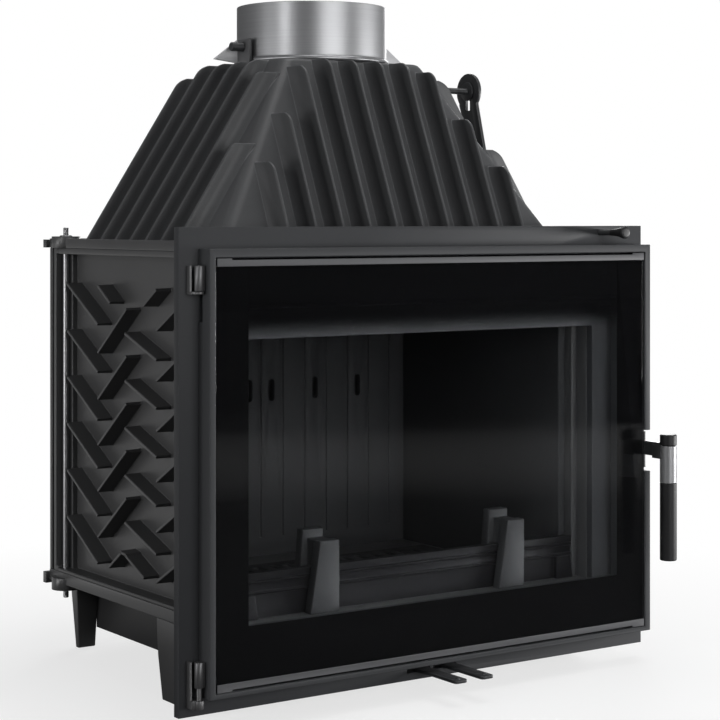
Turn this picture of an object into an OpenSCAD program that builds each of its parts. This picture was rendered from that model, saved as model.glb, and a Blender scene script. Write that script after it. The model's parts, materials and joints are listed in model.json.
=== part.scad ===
/* [Front plate] */
// Width of the front plate
plate_w = 718; // [712:1:740]
// Height of the front plate
plate_h = 567; // [563:1:590]
// Height of the front plate's lower edge above the floor
plate_lift = 20; // [15:1:24]
// Thickness of the front plate
plate_t = 11; // [8:0.5:14]
// Width of the seat frame beside the fire opening
opening_side = 22.5; // [20:0.5:32]
// Top of the fire opening above the floor
opening_top = 454; // [430:1:465]

/* [Body] */
// Width of the body over its flanges
body_w = 585; // [581:1:600]
// Depth of the body behind its seat frame
body_d = 449; // [440:1:470]
// Depth of the seat frame between the front plate and the body
neck_d = 22; // [16:1:30]
// Height of the bottom plate's underside above the floor
base_z = 100; // [96:1:106]
// Thickness of the bottom plate
base_t = 15; // [13:0.5:18]
// Height of the top plate's upper face above the floor
rim_z = 569.5; // [566:0.5:574]
// Thickness of the top plate
rim_t = 12.5; // [10:0.5:14]
// Wall thickness of the castings
wall_t = 8; // [6:0.5:10]
// Depth of the side panel behind its flanges
side_recess = 22; // [18:1:25]
// Height of the side wall's lower flange
low_flange_t = 5; // [4:0.5:8]
// Height of the side wall's upper flange
high_flange_t = 8.5; // [6:0.5:11]

/* [Side wall slats] */
// Thickness of a slat
slat_t = 4; // [3:0.5:5]
// Spacing of the outer slats
outer_pitch = 62.9; // [61:0.1:64]
// Run of an outer slat along the wall
outer_run = 90.5; // [84:0.5:96]
// Rise of an outer slat
outer_rise = 50.5; // [44:0.5:56]
// Distance of the outer slats from the wall's middle
outer_start = 80.5; // [78:0.5:84]
// Spacing of the inner slats
inner_pitch = 60.7; // [59:0.1:62]
// Fall of the steep inner slats
steep_fall = 60.5; // [56:0.5:62]
// Rise of the shallow inner slats
shallow_rise = 29; // [24:0.5:32]
// Number of outer slats on each half of a wall
outer_count = 6; // [4:1:6]

/* [Hood] */
// Height of the hood's flat top above the floor
hood_z = 806; // [796:1:816]
// Distance of the hood's root from the body's sides
hood_side_in = 28.5; // [26.5:0.5:34]
// Half width of the hood's flat top
hood_top_half_w = 111; // [110:1:122]
// Distance of the hood's root from the body's rear
hood_rear_in = 50.5; // [44:0.5:56]
// Depth of the hood's flat top
hood_top_d = 209; // [208:1:222]
// Distance of the hood's root behind the body's front edge
hood_root_in = 30.5; // [26:0.5:36]
// Share of the hood's setback that lies in front of its flat top
hood_lean_share = 0.6447; // [0.62:0.0001:0.67]
// Corner radius of the hood
hood_r = 22; // [14:1:28]
// Spacing of the fins on the front and rear faces
front_fin_pitch = 41; // [39:0.5:43]
// Height of a front fin off its face
front_fin_h = 30; // [24:0.5:33]
// Number of fins on the front and rear faces
front_fin_count = 10; // [6:2:10]
// Spacing of the fins on the side faces
side_fin_pitch = 41; // [39:0.5:43]
// Height of a side fin off its face
side_fin_h = 22.5; // [18:0.5:24]
// Number of fins on each side face
side_fin_count = 7; // [5:1:7]
// Thickness of a fin at its crest
fin_t = 4.4; // [3.5:0.1:6]
// Thickness of a fin at its root
fin_root_t = 9; // [7:0.5:12]

/* [Flue collar] */
// Inside diameter of the collar, which takes the flue pipe
collar_bore_d = 201; // [199:0.5:203]
// Wall of the collar
collar_t = 2; // [1.5:0.1:3]
// Height of the collar above the hood's top
collar_h = 78.6; // [60:0.2:100]
// Radius of the bead round the collar's foot
bead_r = 3.5; // [2.5:0.1:5]

/* [Door] */
// Width of the door
door_w = 684; // [680:1:690]
// Height of the door
door_h = 519.5; // [512:0.5:524]
// Thickness of the door frame
door_t = 26.7; // [24:0.1:30]
// Height of the door's lower edge above the front plate's
door_up = 22.3; // [21.5:0.1:24]
// Distance of the door's middle to the right of the plate's
door_shift = 9; // [7:0.5:11]
// Gap between the door and the front plate
door_gap = 0.5; // [0.4:0.1:1]
// Width of the door frame's lip beside the glass
lip_side = 8; // [6:0.5:9]
// Width of the lip above the glass
lip_top = 10; // [8:0.5:12]
// Width of the lip below the glass
lip_bottom = 6; // [5:0.5:8]
// Width of the frame behind the glass beside the window
window_side = 49; // [46:0.5:62]
// Height of the frame behind the glass above the window
window_over = 49.5; // [46:0.5:62]
// Height of the window's lower edge above the door's
window_up = 76; // [70:1:80]
// Thickness of the glass
glass_t = 4; // [3:0.5:5]
// Depth of the glass behind the lip
glass_in = 1.5; // [1:0.1:2]
// Height of the bars that hold the glass
bar_h = 7.4; // [6:0.2:9]
// Diameter of the rope seal
rope_d = 12; // [10:0.5:12]

/* [Hinges and handle] */
// Radius of the door's knuckles
knuckle_r = 5.6; // [5:0.1:5.8]
// Height of a knuckle
knuckle_h = 29.7; // [26:0.1:34]
// Radius of the hinge pins
hinge_pin_r = 2.95; // [2.5:0.05:3.2]
// Diameter of the grip
grip_d = 22.4; // [20:0.2:24]
// Length of the black lower part of the grip
grip_h = 103.4; // [90:0.2:120]
// Length of the steel sleeve on the grip
sleeve_h = 49; // [40:0.5:60]
// Length of the black cap on the grip
cap_h = 15.4; // [10:0.2:20]
// Distance of the grip in front of the plate
grip_out = 63; // [58:0.5:66]
// Height of the handle's pivot above the floor
handle_z = 288.6; // [280:0.2:296]
// Height of the handle's arm
arm_h = 18.4; // [16:0.2:20]
// Thickness of the handle's arm
arm_t = 8; // [6:0.5:8]

/* [Damper] */
// Radius of the damper's pull rod
rod_r = 4; // [3:0.1:4.2]
// Distance of the pull rod from the body's side
rod_side_in = 7.5; // [4.5:0.5:8.5]
// Height of the pull rod above the floor
rod_z = 578.3; // [577.5:0.1:579]
// Travel of the pull rod
rod_travel = 65; // [50:1:70]
// Radius of the damper's shaft
shaft_r = 4.4; // [3.6:0.1:5]
// Height of the damper's shaft above the floor
shaft_z = 781; // [778:0.5:783]
// Radius of the damper plate
flap_r = 92; // [84:1:94]
// Thickness of the damper plate
flap_t = 3; // [2:0.5:4]
// Thickness of the lever
lever_t = 5; // [4:0.5:6]
// Radius of the lever's head
lever_head_r = 26; // [22:0.5:30]
// Forward lean of the lever from its shaft to its pin
lever_lean = 61.2; // [56:0.2:64]

/* [Air levers and base] */
// Width of an air lever
air_w = 19.4; // [16:0.2:20]
// Thickness of an air lever
air_t = 3.9; // [3:0.1:4.2]
// Reach of an air lever in front of the plate
air_reach = 81; // [70:1:90]
// Travel of an air lever
air_travel = 13; // [8:0.5:13.5]
// Distance of the air box from the body's rear
box_rear_in = 4; // [3:0.5:9]
// Distance of the air box from the body's sides
box_side_in = 69.5; // [67:0.5:74]
// Height of the air box's underside above the floor
box_z = 27; // [26.5:0.1:27.5]
// Sheet thickness of the air box
sheet_t = 2.4; // [2:0.1:2.6]
// Reach of the rear legs behind the body
rear_reach = 8; // [6:0.5:12]

/* [Firebox] */
// Distance of the grate from the body's sides
grate_side_in = 52.5; // [48:0.5:72]
// Distance of the grate from the body's rear
grate_rear_in = 141; // [134:1:157]
// Thickness of the grate
grate_t = 10; // [8:0.5:12]
// Spacing of the grate's slots
grate_pitch = 24; // [22:0.5:30]
// Thickness of the side linings
lining_t = 11.5; // [9:0.5:14]
// Distance of the rear lining's face from the body's rear
rear_duct_d = 76.5; // [70:0.5:84]
// Height of the log fence
fence_h = 55; // [45:1:65]
// Height of a fire dog
dog_h = 99; // [85:1:110]
// Distance of a fire dog's middle from the plate's middle
dog_x = 146; // [120:1:170]

/* [Hidden] */

// Overrun of every cut past the face that it opens
over = 1;
// Gap of a running fit, measured on the radius
run_gap = 0.05;
// Gap between loose pieces that lie on each other
loose = 0.3;
// Steps round a true circle, and round a corner of a blended shell
$fn = 64;
blend_fn = 32;

body_half = body_w / 2;
body_front = plate_t + neck_d;
body_back = body_front + body_d;
back_reach = body_back + rear_reach;
opening_w = body_w - 2 * opening_side;
rod_x = body_half - rod_side_in;
box_half_w = body_half - box_side_in;
box_d = body_back - plate_t - box_rear_in;
rear_lining_in = body_back - rear_duct_d;

// The front plate's face lies this far in front of the middle of the whole object
face_y = (air_reach - back_reach) / 2;
body_mid = (body_front + body_back) / 2;
floor_z = base_z + base_t;
rim_low = rim_z - rim_t;
panel_out = body_half - side_recess;
panel_in = panel_out - wall_t;

// Puts a piece drawn behind the front plate's face in its place on the whole object
module placed() {
  translate([0, face_y, 0]) children();
}

// Places two dimensional work in the plane across the object, and carries it to the right
module across(length) {
  rotate([90, 0, 90]) linear_extrude(length) children();
}

// Places upright two dimensional work and carries it to the rear
module rearward(length) {
  translate([0, length, 0]) rotate([90, 0, 0]) linear_extrude(length) children();
}

// A box from its lowest corner to its highest
module block(low, high) {
  translate(low) cube(high - low);
}

// Left and right copies of one piece
module both_sides() {
  children();
  mirror([1, 0, 0]) children();
}

// Bottom plate, with the ears that hold the tie rods
ear_r = 19.4;
ear_in = 8.2;
ear_from_back = 34;
ear_x = body_half - ear_in;
ear_depth = body_back - ear_from_back;
ear_low_t = 16.6;
ear_high_t = 15.5;
ear_drop = 8;
ear_rise = 3;
rod_clear = 0.3;
tie_r = 3.9;
nut_sink = 5;
nut_pocket_d = 18.6;
lug_w = 18;
lug_out = 6;
lug_t = 11;
lug_drop = 4;

module ear(low, thick) {
  translate([-ear_x, ear_depth, low]) cylinder(h = thick, r = ear_r);
}

module ear_bore() {
  translate([-ear_x, ear_depth, -over]) cylinder(h = hood_z, r = tie_r + rod_clear);
}

// Round pocket in an ear, in which a nut lies almost flush
module nut_pocket(low) {
  translate([-ear_x, ear_depth, low]) cylinder(h = nut_sink + over, d = nut_pocket_d);
}

module rear_lug(low, high) {
  lug_left = -body_half - lug_out;
  block([lug_left, body_back - over, low], [lug_left + lug_w, back_reach, high]);
}

grate_in = 72;
grate_seat = 12;
grate_gap = 0.5;
grate_proud = 2;
grate_front = body_front + grate_in;
grate_w = body_w - 2 * grate_side_in;
grate_d = body_d - grate_in - grate_rear_in;
grate_deep = grate_t - grate_proud;

module bottom_plate() placed() color("dimgray") difference() {
  union() {
    block([-body_half, body_front, base_z], [body_half, body_back, floor_z]);
    both_sides() ear(base_z - ear_drop, ear_low_t);
    both_sides() rear_lug(base_z - lug_drop, floor_z - lug_drop);
  }
  both_sides() ear_bore();
  both_sides() nut_pocket(base_z - ear_drop - over);
  block(
    [-grate_w / 2 - grate_gap, grate_front - grate_gap, floor_z - grate_deep],
    [grate_w / 2 + grate_gap, grate_front + grate_d + grate_gap, floor_z + over]);
  block(
    [-grate_w / 2 + grate_seat, grate_front + grate_seat, base_z - over],
    [grate_w / 2 - grate_seat, grate_front + grate_d - grate_seat, floor_z]);
}

// Top plate, a frame that the hood stands on
rim_land = 10;
hood_front = body_front + hood_root_in;
hood_back = body_back - hood_rear_in;
hood_root_half_w = body_half - hood_side_in;

module top_plate() placed() color("dimgray") difference() {
  union() {
    block([-body_half, body_front, rim_low], [body_half, body_back, rim_z]);
    both_sides() ear(rim_z + ear_rise - ear_high_t, ear_high_t);
    both_sides() rear_lug(rim_low, rim_low + lug_t);
  }
  both_sides() ear_bore();
  both_sides() nut_pocket(rim_z + ear_rise - nut_sink);
  block(
    [-hood_root_half_w + rim_land, hood_front + rim_land, rim_low - over],
    [hood_root_half_w - rim_land, hood_back - rim_land, rim_z + over]);
}

// Side wall, a recessed panel between flanges, with its plait of slats
rear_flange_in = 26;
rear_flange_w = 16;
rear_flange_drop = 14;
short_run = 34;
short_rise = 21;
short_start = 46;
chevron_w = 48;
chevron_rise = 22;
chevron_lap = 17;
foot_up = 23;
inner_up = 34.5;

// One slat from a low or high start, given as distances from the wall's middle and heights
module slat(from, to) {
  run = to[0] - from[0];
  rise = to[1] - from[1];
  translate([-panel_out - side_recess, body_mid + from[0], from[1]])
    rotate([atan2(rise, run), 0, 0])
      translate([0, 0, -slat_t / 2])
        cube([side_recess + wall_t / 2, sqrt(run * run + rise * rise), slat_t]);
}

module slats() {
  foot = floor_z + low_flange_t + foot_up;
  inner_foot = floor_z + low_flange_t + foot_up + inner_up;
  top = foot + (outer_count - 1) * outer_pitch + outer_rise;
  for (i = [0 : outer_count - 1]) {
    low = foot + i * outer_pitch;
    slat([outer_start, low], [outer_start + outer_run, low + outer_rise]);
    slat([-outer_start - outer_run, low + outer_rise], [-outer_start, low]);
  }
  for (i = [0 : outer_count - 2]) {
    low = inner_foot + i * inner_pitch;
    slat([0, low + steep_fall], [outer_start, low]);
    slat([-outer_start, low], [slat_t, low + shallow_rise]);
  }
  slat([-short_start - short_run, top], [-short_start, top - short_rise]);
  slat([short_start, top - short_rise], [short_start + short_run, top]);
  slat([-chevron_w, foot], [slat_t, foot + chevron_rise]);
  slat([0, foot + chevron_rise], [chevron_lap, foot + chevron_rise + slat_t / 2]);
  slat([chevron_lap - slat_t, foot + chevron_rise + slat_t / 2], [chevron_w, foot]);
}

module side_wall() {
  block([-panel_out, body_front, floor_z], [-panel_in, body_back - rear_flange_in, rim_low]);
  block([-body_half, body_front, floor_z], [-panel_in, body_back - rear_flange_in, floor_z + low_flange_t]);
  block(
    [-body_half, body_front, rim_low - high_flange_t],
    [-panel_in, body_back - rear_flange_in, rim_low]);
  block([-body_half, body_front, floor_z], [-panel_in, body_front + wall_t, rim_low]);
  block(
    [-body_half + rear_flange_drop, body_back - rear_flange_in - rear_flange_w, floor_z],
    [-panel_in, body_back - rear_flange_in, rim_low]);
  slats();
}

module side_wall_left() placed() color("dimgray") difference() {
  side_wall();
  ear_relief();
}
module side_wall_right() placed() color("dimgray") mirror([1, 0, 0]) difference() {
  side_wall();
  ear_relief();
}

// Room for the tie rod and its ears past the side wall's flanges
module ear_relief() {
  translate([-ear_x, ear_depth, floor_z - over])
    cylinder(h = rim_low - floor_z + 2 * over, r = tie_r + wall_t / 4);
}

// Rear wall, a ribbed panel in a raised frame
rear_rib_t = 6;
rear_rib_h = 14;
rear_rib_pitch = 41;
rear_frame_w = 20;
rear_rib_end = 34;
rear_edge_t = 7.5;
rear_edge_groove = 5.5;
rear_band_d = 20;
rear_web_h = 8;

module rear_wall() placed() color("dimgray") {
  wall_front = body_back - rear_flange_in;
  wall_side = body_half - rear_flange_drop;
  rear_rib_count = floor(2 * (wall_side - rear_frame_w) / rear_rib_pitch);
  band_front = body_back - rear_band_d;
  difference() {
    union() {
      block([-wall_side, wall_front, floor_z], [wall_side, body_back, rim_low]);
      block(
        [-body_half, band_front, floor_z],
        [body_half, body_back - rear_edge_t - rear_edge_groove, rim_low]);
      block([-body_half, body_back - rear_edge_t, floor_z], [body_half, body_back, rim_low]);
      both_sides() for (low = [floor_z, rim_low - rear_web_h])
        block([-body_half, wall_front, low], [-wall_side + over, band_front + over, low + rear_web_h]);
    }
    block(
      [-wall_side + rear_frame_w, wall_front + wall_t, floor_z + rear_frame_w],
      [wall_side - rear_frame_w, body_back + over, rim_low - rear_frame_w]);
  }
  for (i = [0 : rear_rib_count - 1]) {
    x = (i - (rear_rib_count - 1) / 2) * rear_rib_pitch;
    block(
      [x - rear_rib_t / 2, wall_front + wall_t / 2, floor_z + rear_rib_end],
      [x + rear_rib_t / 2, wall_front + wall_t + rear_rib_h, rim_low - rear_rib_end]);
  }
}

// Seat frame, the neck between the front plate and the body
module door_seat_frame() placed() color("dimgray") difference() {
  block([-body_half, plate_t, base_z], [body_half, body_front, rim_z]);
  block([-opening_w / 2, plate_t - over, floor_z], [opening_w / 2, body_front + over, opening_top]);
}

// Front plate with the fire opening, the lever slots and the pull rod's bore
slot_gap = 0.45;
air_float = 0.2;
air_z = box_z + sheet_t + air_float;
air_left_x = -9.8;
air_right_x = 30.9;
slot_end = 1.6;

module lever_slot(x) {
  block(
    [x - air_w / 2 - air_travel - slot_end, -over, air_z - slot_gap],
    [x + air_w / 2 + slot_end, plate_t + over, air_z + air_t + slot_gap]);
}

module front_plate() placed() color("dimgray") difference() {
  block([-plate_w / 2, 0, plate_lift], [plate_w / 2, plate_t, plate_lift + plate_h]);
  block([-opening_w / 2, -over, floor_z], [opening_w / 2, plate_t + over, opening_top]);
  lever_slot(air_left_x);
  lever_slot(air_right_x);
  translate([rod_x, plate_t + over, rod_z])
    rotate([90, 0, 0]) cylinder(h = plate_t + 2 * over, r = rod_r + run_gap);
}

// Hood, a hollow pyramid with fins cast on its four faces
hood_rise = hood_z - rim_z;
hood_setback = hood_back - hood_front - hood_top_d;
hood_top_in = hood_setback * hood_lean_share;
hood_top_front = hood_front + hood_top_in;
hood_top_back = hood_top_front + hood_top_d;
front_slope = hood_top_in / hood_rise;
rear_slope = (hood_setback - hood_top_in) / hood_rise;
side_slope = (hood_root_half_w - hood_top_half_w) / hood_rise;
flue_depth = (hood_top_front + hood_top_back) / 2;
fin_drop = 25;
fin_top_gap = 4;
fin_bury = 2;
root_blend_share = 0.28;
crest_blend = 1.2;
slab = 0.5;
linkage_in = 26.5;
linkage_x = body_half - linkage_in;
linkage_top = 616;
flue_land = 5;
boss_r = 10;
boss_out = 12;

module hood_outline(half, front, back, radius) {
  translate([0, (front + back) / 2])
    offset(r = radius, $fn = blend_fn)
      square([2 * (half - radius), back - front - 2 * radius], center = true);
}

module hood_block(inset) {
  hull() {
    translate([0, 0, rim_z])
      linear_extrude(slab)
        hood_outline(hood_root_half_w - inset, hood_front + inset, hood_back - inset, hood_r - inset / 2);
    translate([0, 0, hood_z - slab - inset])
      linear_extrude(slab)
        hood_outline(
          hood_top_half_w + inset * side_slope - inset,
          hood_top_front - inset * front_slope + inset,
          hood_top_back + inset * rear_slope - inset,
          hood_r - inset / 2);
  }
}

// Section of a fin: wide at its root, with blended flanks and a broken crest
module fin_section(height) {
  half = fin_t / 2;
  root = fin_root_t / 2;
  rise = height * root_blend_share;
  polygon([
    [-root, fin_bury], [-root, 0], [-(root + half) / 2, -rise / 3], [-half, -rise],
    [-half, -height + crest_blend], [-half + crest_blend, -height],
    [half - crest_blend, -height], [half, -height + crest_blend],
    [half, -rise], [(root + half) / 2, -rise / 3], [root, 0], [root, fin_bury]
  ]);
}

// A fin that stands at foot on a face with this turn and slope, cut off level at its top
module fin(foot, turn, slope, height, top) {
  intersection() {
    translate([foot[0], foot[1], rim_z])
      rotate([0, 0, turn])
        rotate([-atan(slope), 0, 0])
          translate([0, 0, -height])
            linear_extrude(2 * hood_rise)
              fin_section(height);
    block([-body_half, body_front, rim_z], [body_half, body_back, top]);
  }
}

// Height of the ridge between two faces, at a distance in from the corner of the root
function ridge_top(inward, slope) = min(hood_z - fin_top_gap, rim_z + inward / slope - fin_drop);

module side_fins(side) {
  start = flue_depth - (side_fin_count - 1) / 2 * side_fin_pitch - side_fin_pitch / 2;
  for (i = [0 : side_fin_count - 1]) {
    y = start + i * side_fin_pitch;
    top = min(ridge_top(y - hood_front, front_slope), ridge_top(hood_back - y, rear_slope));
    fin([side * hood_root_half_w, y], side * 90, side_slope, side_fin_h, top);
  }
}

module front_fins() {
  for (i = [0 : front_fin_count - 1]) {
    x = (i - (front_fin_count - 1) / 2) * front_fin_pitch;
    top = ridge_top(hood_root_half_w - abs(x), side_slope);
    fin([x, hood_front], 0, front_slope, front_fin_h, top);
    fin([x, hood_back], 180, rear_slope, side_fin_h, top);
  }
}

shaft_face = hood_root_half_w - (shaft_z - rim_z) * side_slope;

module hood() placed() color("dimgray") difference() {
  union() {
    difference() {
      hood_block(0);
      translate([0, 0, -slab]) hood_block(wall_t);
    }
    front_fins();
    side_fins(-1);
    difference() {
      side_fins(1);
      block([linkage_x, body_front, rim_z - over], [body_half + over, body_mid, linkage_top]);
    }
    translate([shaft_face - wall_t, flue_depth, shaft_z])
      rotate([0, 90, 0]) cylinder(h = wall_t + boss_out, r = boss_r);
    translate([-shaft_face - wall_t / 4, flue_depth, shaft_z])
      rotate([0, 90, 0]) cylinder(h = wall_t / 4 + wall_t + boss_out, r = boss_r);
  }
  translate([0, flue_depth, hood_z - 3 * wall_t / 2])
    cylinder(h = 2 * wall_t, d = collar_bore_d - 2 * flue_land, $fn = 128);
  translate([-shaft_face + wall_t / 2, flue_depth, shaft_z])
    rotate([0, 90, 0]) cylinder(h = 2 * shaft_face + boss_out + over, r = shaft_r + run_gap);
}

// Flue collar, a rolled steel stub with a bead at its foot
module flue_collar() placed() color("silver") translate([0, flue_depth, hood_z]) {
  difference() {
    union() {
      cylinder(h = collar_h, d = collar_bore_d + 2 * collar_t, $fn = 128);
      translate([0, 0, bead_r])
        rotate_extrude($fn = 128) translate([collar_bore_d / 2 + collar_t, 0]) circle(r = bead_r);
    }
    translate([0, 0, -over]) cylinder(h = collar_h + 2 * over, d = collar_bore_d, $fn = 128);
  }
}

// Brackets beside the collar, each an upright tab with a gusset
tab_t = 4;
tab_w = 35;
tab_h = 31;
gusset_reach = 40;
bolt_r = 6;
bolt_h = 22;
bolt_up = 20.5;
bolt_z = hood_z + bolt_up;
tab_x = collar_bore_d / 2 + collar_t + bead_r + loose;

module collar_bracket() difference() {
  union() {
    block([tab_x, -tab_w / 2, hood_z], [tab_x + tab_t, tab_w / 2, hood_z + tab_h]);
    translate([tab_x, -tab_w / 2, hood_z])
      rearward(tab_t)
        polygon([[0, 0], [hood_top_half_w - tab_x, 0], [gusset_reach, tab_t], [tab_t, tab_h], [0, tab_h]]);
  }
  translate([tab_x - over, 0, bolt_z])
    rotate([0, 90, 0]) cylinder(h = tab_t + 2 * over, r = bolt_r + run_gap);
}

module collar_brackets() placed() color("gainsboro") translate([0, flue_depth, 0]) {
  collar_bracket();
  rotate([0, 0, 180]) collar_bracket();
}

module collar_bolts() placed() color("dimgray") translate([0, flue_depth, bolt_z]) {
  for (turn = [0, 180])
    rotate([0, 0, turn])
      translate([collar_bore_d / 2 + collar_t + loose, 0, 0])
        rotate([0, 90, 0]) cylinder(h = bolt_h + tab_t, r = bolt_r);
}

// Tie rods and their nuts
tie_over = 12;
nut_across = 15;
nut_h = 6.5;
tie_low = base_z - ear_drop - tie_over;
tie_high = rim_z + ear_rise + tie_over;

module tie_rods() placed() color("lightgray") both_sides()
  translate([-ear_x, ear_depth, tie_low]) cylinder(h = tie_high - tie_low, r = tie_r);

module nut(low) {
  translate([-ear_x, ear_depth, low]) difference() {
    cylinder(h = nut_h, d = nut_across, $fn = 6);
    translate([0, 0, -over]) cylinder(h = nut_h + 2 * over, r = tie_r + run_gap);
  }
}

module tie_rod_nuts() placed() color("silver") both_sides() {
  nut(base_z - ear_drop + nut_sink - nut_h);
  nut(rim_z + ear_rise - nut_sink);
}

// Legs under the body's front and rear
leg_t = 8;
front_leg_d = 165;
front_leg_foot = 150;
front_leg_toe = 64;
front_leg_toe_rise = 40;
front_leg_knee = 161.5;
front_leg_knee_z = 54;
front_leg_return = 44;
rear_leg_w = 35;
rear_leg_top = 21;
rear_leg_foot = 9;
rear_leg_slant = 9;

module front_leg() {
  translate([-body_half, 0, 0])
    across(leg_t)
      polygon([
        [plate_t, front_leg_toe_rise], [plate_t + front_leg_toe, 0],
        [plate_t + front_leg_foot, 0], [plate_t + front_leg_knee, front_leg_knee_z],
        [plate_t + front_leg_d, base_z], [plate_t, base_z]
      ]);
  block(
    [-body_half, plate_t, front_leg_toe_rise],
    [-body_half + front_leg_return, plate_t + leg_t, base_z]);
}

module front_leg_left() placed() color("gray") front_leg();
module front_leg_right() placed() color("gray") mirror([1, 0, 0]) front_leg();

module rear_leg() {
  inner = -box_half_w;
  intersection() {
    translate([inner - rear_leg_w, 0, 0])
      across(rear_leg_w)
        polygon([
          [back_reach - rear_leg_top, base_z], [back_reach - rear_leg_foot, 0],
          [back_reach, 0], [back_reach, base_z - lug_t], [body_back, base_z]
        ]);
    translate([0, body_front, 0])
      rearward(body_d + back_reach)
        polygon([
          [inner - rear_leg_w, base_z], [inner, base_z], [inner, 0],
          [inner - rear_leg_w + rear_leg_slant, 0]
        ]);
  }
}

module rear_leg_left() placed() color("gray") rear_leg();
module rear_leg_right() placed() color("gray") mirror([1, 0, 0]) rear_leg();

// Air box under the bottom plate, open above, with two air holes in its floor
shutter_w = 45;
shutter_front = 50;
shutter_d = 45;
hole_w = 26;
hole_d = 25;

module air_hole(x) {
  y = plate_t + shutter_front + shutter_d / 2;
  block(
    [x - hole_w / 2, y - hole_d / 2, box_z - over],
    [x + hole_w / 2, y + hole_d / 2, box_z + sheet_t + over]);
}

module air_box() placed() color("dimgray") difference() {
  block([-box_half_w, plate_t, box_z], [box_half_w, plate_t + box_d, base_z]);
  block(
    [-box_half_w + sheet_t, plate_t - over, box_z + sheet_t],
    [box_half_w - sheet_t, plate_t + box_d - sheet_t, base_z + over]);
  air_hole(air_left_x - shutter_w / 4);
  air_hole(air_right_x + shutter_w / 6);
}

// Ash pan, a folded tray on the air box's floor
pan_t = 1.5;
pan_half_w = grate_w / 2 - 3 * grate_seat;
pan_h = 52;
pan_rim = 8;

module ash_pan() placed() color("silver") {
  low = box_z + sheet_t;
  front = grate_front + 2 * grate_seat;
  back = grate_front + grate_d - 2 * grate_seat;
  difference() {
    union() {
      block([-pan_half_w, front, low], [pan_half_w, back, low + pan_h]);
      block(
        [-pan_half_w - pan_rim, front - pan_rim, low + pan_h - pan_t],
        [pan_half_w + pan_rim, back + pan_rim, low + pan_h]);
    }
    block(
      [-pan_half_w + pan_t, front + pan_t, low + pan_t],
      [pan_half_w - pan_t, back - pan_t, low + pan_h + over]);
  }
}

// Grate, a slotted casting let into the bottom plate
grate_edge = 20;
grate_mid = 16;
grate_slot_w = 11;

module grate() placed() color("gray") difference() {
  low = floor_z - grate_deep;
  block([-grate_w / 2, grate_front, low], [grate_w / 2, grate_front + grate_d, low + grate_t]);
  columns = floor((grate_w - 2 * grate_edge) / grate_pitch);
  slot_len = (grate_d - 2 * grate_edge - grate_mid) / 2;
  for (i = [0 : columns - 1])
    for (row = [0, 1]) {
      x = (i - (columns - 1) / 2) * grate_pitch;
      y = grate_front + grate_edge + row * (slot_len + grate_mid);
      block(
        [x - grate_slot_w / 2, y, low - over],
        [x + grate_slot_w / 2, y + slot_len, low + grate_t + over]);
    }
}

// Side linings, whose sloped tops carry the baffle
lining_side = panel_in;
lining_set_back = 5.5;
lining_front = body_front + wall_t + lining_set_back;
lining_low_top = 470;
lining_high_top = 522;
lining_gap = 0.5;

module lining() {
  translate([-lining_side + lining_gap, 0, 0])
    across(lining_t)
      polygon([
        [lining_front, floor_z], [rear_lining_in - lining_gap, floor_z],
        [rear_lining_in - lining_gap, lining_low_top], [lining_front, lining_high_top]
      ]);
}

module lining_left() placed() color("gray") lining();
module lining_right() placed() color("gray") mirror([1, 0, 0]) lining();

// Rear lining, a flanged plate with grooves and air slots in front of a hollow
groove_w = 3;
groove_d = 2;
groove_pitch = 37.3;
groove_foot = 26;
rear_plate_t = 10;
air_slot_w = 10;
air_slot_h = 32;
air_slot_z = 335;
rear_lining_top = 470;
air_slot_shares = [-4.5, -2.5, -0.5, 0.5, 2.5, 4.5];

// One air slot with round ends
module air_slot(x) {
  end_r = air_slot_w / 2;
  for (z = [air_slot_z + end_r, air_slot_z + air_slot_h - end_r])
    translate([x, rear_lining_in - over, z])
      rotate([-90, 0, 0]) cylinder(h = rear_plate_t + 2 * over, r = end_r, $fn = 20);
  block(
    [x - end_r, rear_lining_in - over, air_slot_z + end_r],
    [x + end_r, rear_lining_in + rear_plate_t + over, air_slot_z + air_slot_h - end_r]);
}

module rear_lining() placed() color("gray") {
  half = lining_side - lining_gap;
  back = body_back - rear_flange_in - lining_gap;
  difference() {
    union() {
      block([-half, rear_lining_in, floor_z], [half, rear_lining_in + rear_plate_t, rear_lining_top]);
      both_sides() block([-half, rear_lining_in, floor_z], [-half + wall_t, back, rear_lining_top]);
      block([-half, rear_lining_in, rear_lining_top - wall_t], [half, back, rear_lining_top]);
    }
    groove_count = floor((half - wall_t - groove_w) / groove_pitch);
    for (i = [-groove_count : groove_count])
      block(
        [i * groove_pitch - groove_w / 2, rear_lining_in - over, floor_z + groove_foot],
        [i * groove_pitch + groove_w / 2, rear_lining_in + groove_d, rear_lining_top + over]);
    for (share = air_slot_shares) air_slot(share * groove_pitch);
  }
}

// Baffle, a sloped plate on the linings' tops that turns the smoke forward
baffle_t = 12;
baffle_front = 150;

module baffle() placed() color("gray") {
  run = rear_lining_in - lining_gap - lining_front;
  slope = (lining_low_top - lining_high_top) / run;
  front_z = lining_high_top + (baffle_front - lining_front) * slope;
  half = lining_side - 2 * lining_gap;
  translate([-half, 0, 0])
    across(2 * half)
      polygon([
        [baffle_front, front_z], [rear_lining_in - lining_gap, lining_low_top],
        [rear_lining_in - lining_gap, lining_low_top + baffle_t], [baffle_front, front_z + baffle_t]
      ]);
}

// Log fence, a ribbed bar on two feet just inside the opening
fence_half_w = panel_in - 2 * loose;
fence_in = 36;
fence_t = 7;
fence_ledge = 12;
fence_ledge_h = 8;
fence_rib_r = 2.2;
fence_rib_shares = [0.44, 0.2];
fence_foot_in = 28.3;
fence_foot_x = fence_half_w - fence_foot_in;
fence_foot_w = 23;
fence_foot_h = 29;
fence_foot_slant = 5;
fence_foot_d = 6;

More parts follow.
